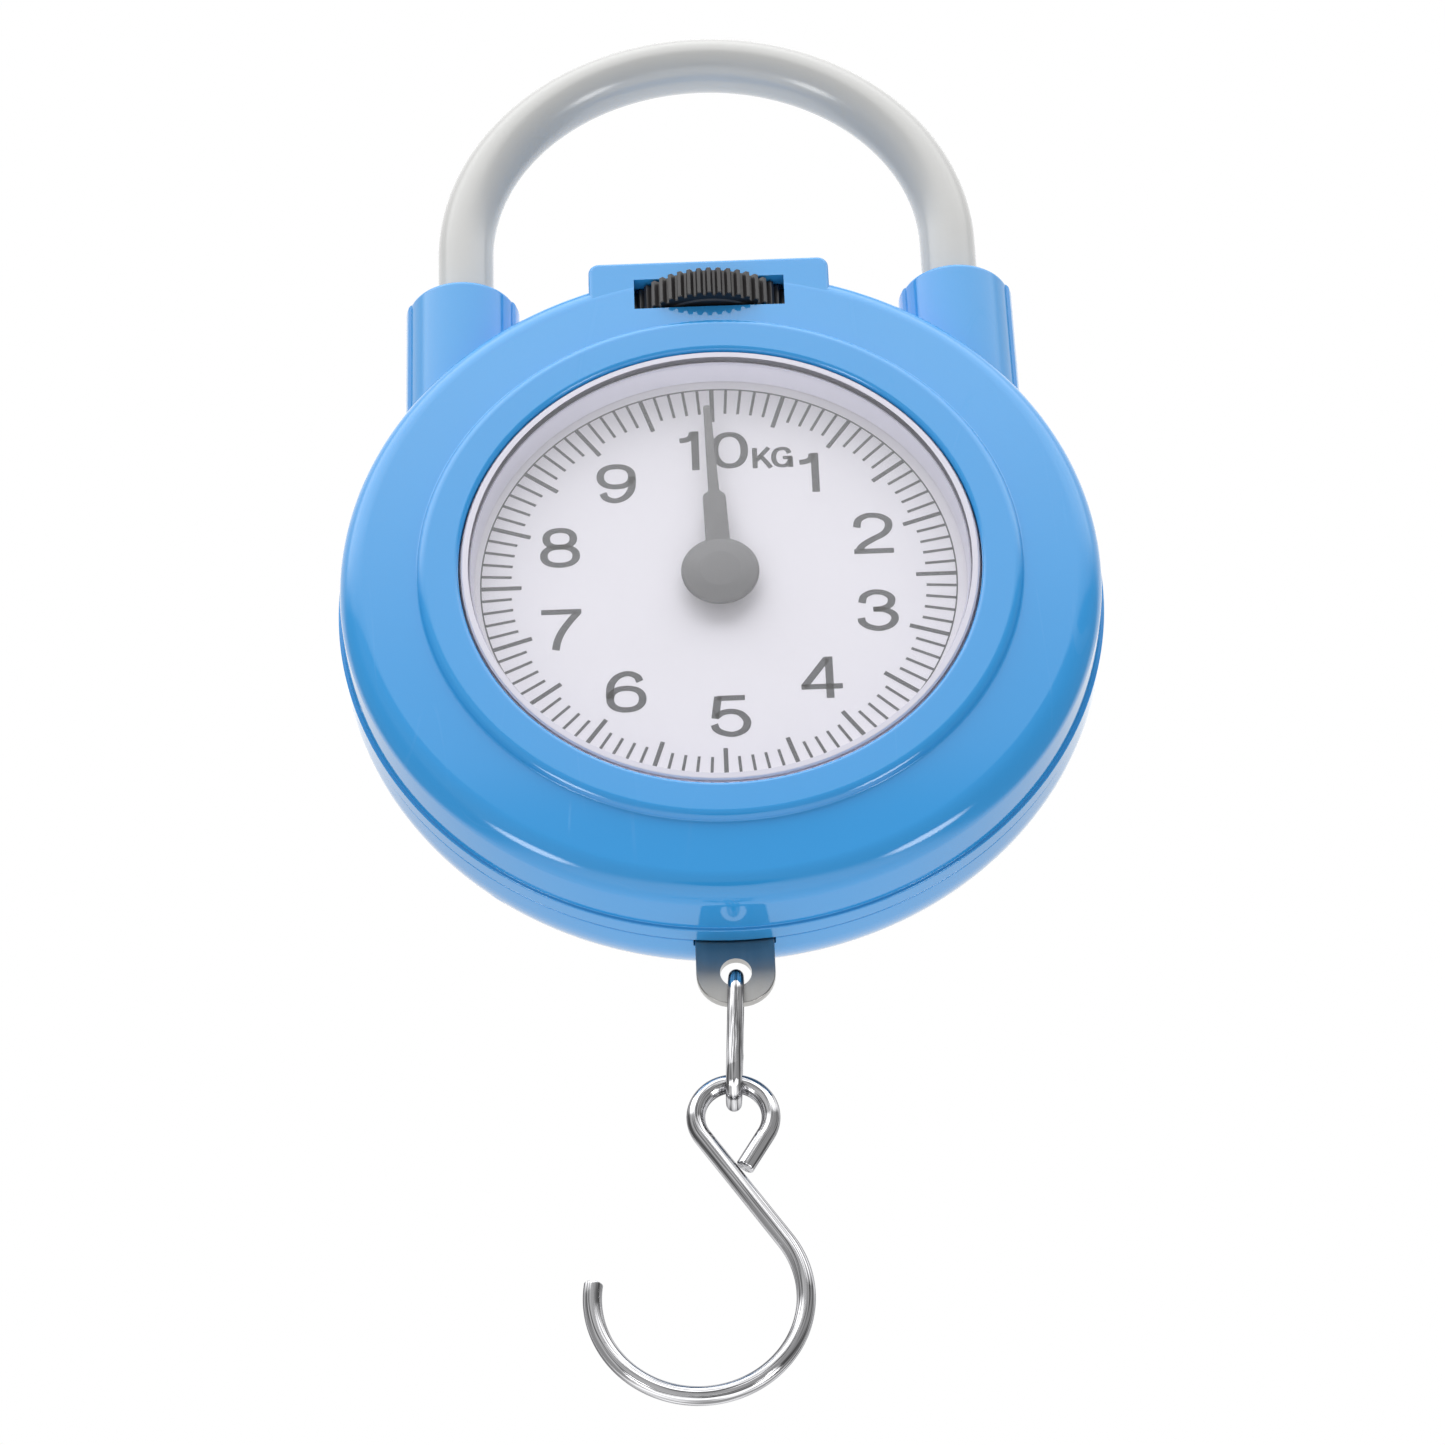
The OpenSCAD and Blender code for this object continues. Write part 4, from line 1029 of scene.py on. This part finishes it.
class SCALE_OT_link(bpy.types.Operator):
    """Link: round wire along two straight legs and two half circles, butt welded half way down its rear
    leg"""
    bl_idname = "scale.link"
    bl_label = "Link"

    def execute(self, context):
        bend, span, wire, tilt = 2.8, 15.35, mm("link_wire") / 2, math.radians(3)
        hole, hole_r, slack = PLATE_LOW[2] + 4.0, 1.8, 0.15
        top = hole - hole_r + wire + slack
        leg = np.linspace(0, 1, 60, endpoint=False)[:, None]
        run = span - 2 * bend
        up = np.hstack([np.full((60, 1), bend), -span + bend + run * leg])
        down = np.hstack([np.full((60, 1), -bend), -bend - run * leg])
        path = np.vstack([up, arc(0, -bend, bend, 0, 180, 48)[:-1], down,
            arc(0, -span + bend, bend, 180, 360, 48)[:-1]])
        weld_at = -span / 2 - 0.6
        near = np.exp(-((path[:, 1] - weld_at) / 0.5) ** 2) * (path[:, 0] > bend - 0.01)
        radius = wire * (1 + 0.06 * near)
        points = np.stack([np.zeros(len(path)), path[:, 0], path[:, 1]], 1)
        turn = np.array([[math.cos(tilt), 0, math.sin(tilt)], [0, 1, 0],
            [-math.sin(tilt), 0, math.cos(tilt)]])
        points = points @ turn.T + [0, PLATE_MID, top]
        ring = tube_along(points, radius, turn @ [1, 0, 0], WIRE_SIDES, True)
        piece = object_of("link_ring", mesh_of("link_ring", [ring]))
        finish_piece(piece, "link_body", ["link"], FINISHES["wire"])
        return {"FINISHED"}


class SCALE_OT_hook(bpy.types.Operator):
    """Hook: round wire along an eye, the straight line that touches both circles, and an open bend, with
    its ends sheared flat"""
    bl_idname = "scale.hook"
    bl_label = "Hook"

    def execute(self, context):
        eye, eye_r, bend, bend_r = np.array([-0.93, -67.43]), 4.18, np.array([-5.4, -89.2]), 11.6
        gap = bend - eye
        shank = math.degrees(math.atan2(gap[1], gap[0]) + math.asin((eye_r + bend_r) / np.linalg.norm(gap)))
        tip, mouth = -31.9, 170 - 360
        start = math.radians(tip)
        out = eye + eye_r * np.array([math.cos(start), math.sin(start)])
        heading = np.array([math.sin(start), -math.cos(start)])
        tail = out + heading * np.linspace(4.75, 0, 12, endpoint=False)[:, None]
        eye_arc = arc(*eye, eye_r, tip, shank + 270, 90)
        bend_arc = arc(*bend, bend_r, shank + 90, mouth, 130)
        run = np.linspace(0, 1, 26)[1:-1, None]
        straight = eye_arc[-1] + run * (bend_arc[0] - eye_arc[-1])
        path = np.vstack([tail, eye_arc, straight, bend_arc])
        points = np.stack([path[:, 0], np.full(len(path), PLATE_MID), path[:, 1]], 1)
        wire = tube_along(points, mm("hook_wire") / 2, (0, 1, 0), WIRE_SIDES, False, 0.14)
        piece = object_of("hook_wire", mesh_of("hook_wire", [wire]))
        finish_piece(piece, "hook_body", ["hook"], FINISHES["wire"])
        return {"FINISHED"}


# ---- parts inside the case ----

class SCALE_OT_inside(bpy.types.Operator):
    """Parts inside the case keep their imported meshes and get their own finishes"""
    bl_idname = "scale.inside"
    bl_label = "Inside Parts"

    def execute(self, context):
        groups = {
            "brass": ("pinion", "rack", "front_bush", "rear_bush"),
            "plated": ("chassis_plate", "chassis_screws", "bridge", "bridge_screws", "rack_rivets", "yoke",
            "zero_screw", "wheel_washer", "handle_ferrules"),
            "turned": ("pointer_shaft", "bridge_pillars"),
            "spring": ("spring_left", "spring_right", "shaft_clip", "handle_core"),
            "nylon": ("rack_guide", "plate_guide"),
        }
        for finish, names in groups.items():
            for name in names:
                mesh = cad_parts[name].data
                mesh.materials.clear()
                mesh.materials.append(FINISHES[finish])
        return {"FINISHED"}


# ---- stage ----

class SCALE_OT_stage(bpy.types.Operator):
    """Stage: a pale floor far below, white surroundings that are darker in front of the dial, and the
    camera"""
    bl_idname = "scale.stage"
    bl_label = "Stage"

    def execute(self, context):
        scene, studio = context.scene, context.scene.scale_studio
        scene.view_settings.view_transform = "Standard"
        u = np.linspace(-4, 4, 41)
        x, y = np.meshgrid(u, u, indexing="ij")
        points, faces, _ = grid_part(np.stack([x, y, np.full_like(x, -studio.floor_drop)], -1))
        mesh = bpy.data.meshes.new("floor")
        mesh.from_pydata(points, [], faces)
        floor = object_of("floor", mesh)
        material, tree, shader, place = new_finish("floor_paint")
        shade = remap(tree, noise(tree, place, 3.0, 4.0), 0.3, 0.7, 0.78, 0.84)
        tint = node(tree, "ShaderNodeCombineColor", links={0: shade, 1: shade, 2: shade})
        tree.links.new(tint.outputs[0], shader.inputs["Base Color"])
        shader.inputs["Roughness"].default_value = 0.7
        mesh.materials.append(material)
        # The surroundings already hold the floor's light, so only the camera sees the floor itself
        floor.visible_diffuse = False
        floor.visible_glossy = False
        self.surroundings(scene, studio)
        self.camera(scene)
        return {"FINISHED"}

    def surroundings(self, scene, studio):
        """Light by direction: white behind the scale, a wide panel high in front of it, dim sides and
        front, and two small lamps."""
        world = bpy.data.worlds.new("studio")
        scene.world = world
        world.use_nodes = True
        tree = world.node_tree
        tree.nodes.clear()
        coords = tree.nodes.new("ShaderNodeTexCoord").outputs["Generated"]
        x, y, z = node(tree, "ShaderNodeSeparateXYZ", links={"Vector": coords}).outputs

        def soft(value, low, high, to_low=0.0, to_high=1.0):
            return remap(tree, value, low, high, to_low, to_high, "SMOOTHSTEP")

        def blend(amount, a, b):
            return maths(tree, "ADD", a, maths(tree, "MULTIPLY", amount, maths(tree, "SUBTRACT", b, a)))

        def lamp(way, inner, outer):
            toward = node(tree, "ShaderNodeVectorMath", {1: way}, {0: coords}, operation="DOT_PRODUCT")
            return soft(toward.outputs["Value"], math.cos(math.radians(outer)), math.cos(math.radians(inner)))

        # Each side's light by direction: the floor's glow below, then the room, then the panel's lower edge
        aside = maths(tree, "ABSOLUTE", x)
        low_front = maths(tree, "ADD", maths(tree, "MULTIPLY", x, -0.25), studio.front_light)
        low_front = blend(soft(z, -0.5, -0.8), low_front, 1.7)
        roof = maths(tree, "ADD", soft(z, 0.462, 0.495, 0.0, 0.35), soft(z, 0.48, 0.66, 0.0, 0.65))
        front = blend(roof, low_front,
            maths(tree, "ADD", maths(tree, "MULTIPLY", x, -0.5), studio.roof_light))
        behind = soft(z, -0.45, -0.7, studio.wall_light, studio.wall_light * 1.1)
        level = blend(soft(y, 0.12, -0.12), behind, front)
        sides = maths(tree, "MULTIPLY", soft(aside, 0.72, 0.9), soft(z, 0.62, 0.45))
        level = blend(sides, level, studio.side_light)
        # The dark reader, then the two lamps
        level = blend(lamp((0.0, -0.843, -0.537), 6.0, 11.0), level, 0.06)
        for way in ((-0.663, -0.537, -0.522), (0.663, -0.537, -0.522)):
            level = maths(tree, "ADD", level,
                maths(tree, "MULTIPLY", lamp(way, 4.0, 12.0), studio.lamp_light))
        light = node(tree, "ShaderNodeBackground", {"Color": (1, 1, 1, 1)}, {"Strength": level})
        seen = node(tree, "ShaderNodeBackground", {"Color": (1, 1, 1, 1), "Strength": 1.0})
        path = tree.nodes.new("ShaderNodeLightPath")
        both = node(tree, "ShaderNodeMixShader")
        tree.links.new(path.outputs["Is Camera Ray"], both.inputs[0])
        tree.links.new(light.outputs[0], both.inputs[1])
        tree.links.new(seen.outputs[0], both.inputs[2])
        out = tree.nodes.new("ShaderNodeOutputWorld")
        tree.links.new(both.outputs[0], out.inputs["Surface"])

    def camera(self, scene):
        """Camera below and in front of the dial, aimed at its centre, a little turned about its own axis."""
        tilt, side, roll, far = math.radians(32.53), math.radians(-0.47), math.radians(-2.30), 0.5305
        back = Vector((math.sin(side) * math.cos(tilt), -math.cos(side) * math.cos(tilt), -math.sin(tilt)))
        right = (-back).cross(Vector((0, 0, 1))).normalized()
        up = right.cross(-back)
        across = right * math.cos(roll) + up * math.sin(roll)
        above = -right * math.sin(roll) + up * math.cos(roll)
        shift = Vector((-0.000424, 0.01649))
        aim = Vector((-0.2 * MM, -DIAL_FACE * MM, DIAL_Z))
        camera = bpy.data.objects.new("camera", bpy.data.cameras.new("camera"))
        scene.collection.objects.link(camera)
        camera.data.sensor_width = 36
        camera.data.lens = 112.1107
        camera.data.clip_start = 0.01
        place = aim + back * far - across * shift.x - above * shift.y
        turn = Matrix((across, above, back)).transposed().to_4x4()
        camera.matrix_world = Matrix.Translation(place) @ turn
        scene.camera = camera


# ---- add-on ----

class SCALE_PT_panel(bpy.types.Panel):
    """Lists the sizes, the colours and the steps that build the scale"""
    bl_label = "Dial Scale"
    bl_idname = "SCALE_PT_panel"
    bl_space_type = "VIEW_3D"
    bl_region_type = "UI"
    bl_category = "Dial Scale"

    def draw(self, context):
        for group in (context.scene.scale_sizes, context.scene.scale_colours, context.scene.scale_studio):
            box = self.layout.box()
            for name in group.__annotations__:
                box.prop(group, name)
        for step in STEPS:
            self.layout.operator(step.bl_idname)


STEPS = (
    SCALE_OT_front_shell, SCALE_OT_back_shell, SCALE_OT_screws, SCALE_OT_lens, SCALE_OT_dial,
    SCALE_OT_pointer, SCALE_OT_wheel,
    SCALE_OT_handle, SCALE_OT_pull_plate, SCALE_OT_link, SCALE_OT_hook, SCALE_OT_inside, SCALE_OT_stage)
CLASSES = (ScaleSizes, ScaleColours, ScaleStudio, *STEPS, SCALE_PT_panel)


def register():
    """Adds the classes and the scene's properties."""
    for item in CLASSES:
        bpy.utils.register_class(item)
    bpy.types.Scene.scale_sizes = PointerProperty(type=ScaleSizes)
    bpy.types.Scene.scale_colours = PointerProperty(type=ScaleColours)
    bpy.types.Scene.scale_studio = PointerProperty(type=ScaleStudio)


def unregister():
    """Takes them away again."""
    del bpy.types.Scene.scale_sizes, bpy.types.Scene.scale_colours, bpy.types.Scene.scale_studio
    for item in reversed(CLASSES):
        bpy.utils.unregister_class(item)


def main():
    """Registers the classes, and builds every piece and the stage."""
    register()
    FINISHES.update(make_finishes())
    for step in STEPS:
        area, name = step.bl_idname.split(".")
        getattr(getattr(bpy.ops, area), name)()


if __name__ == "__main__":
    main()
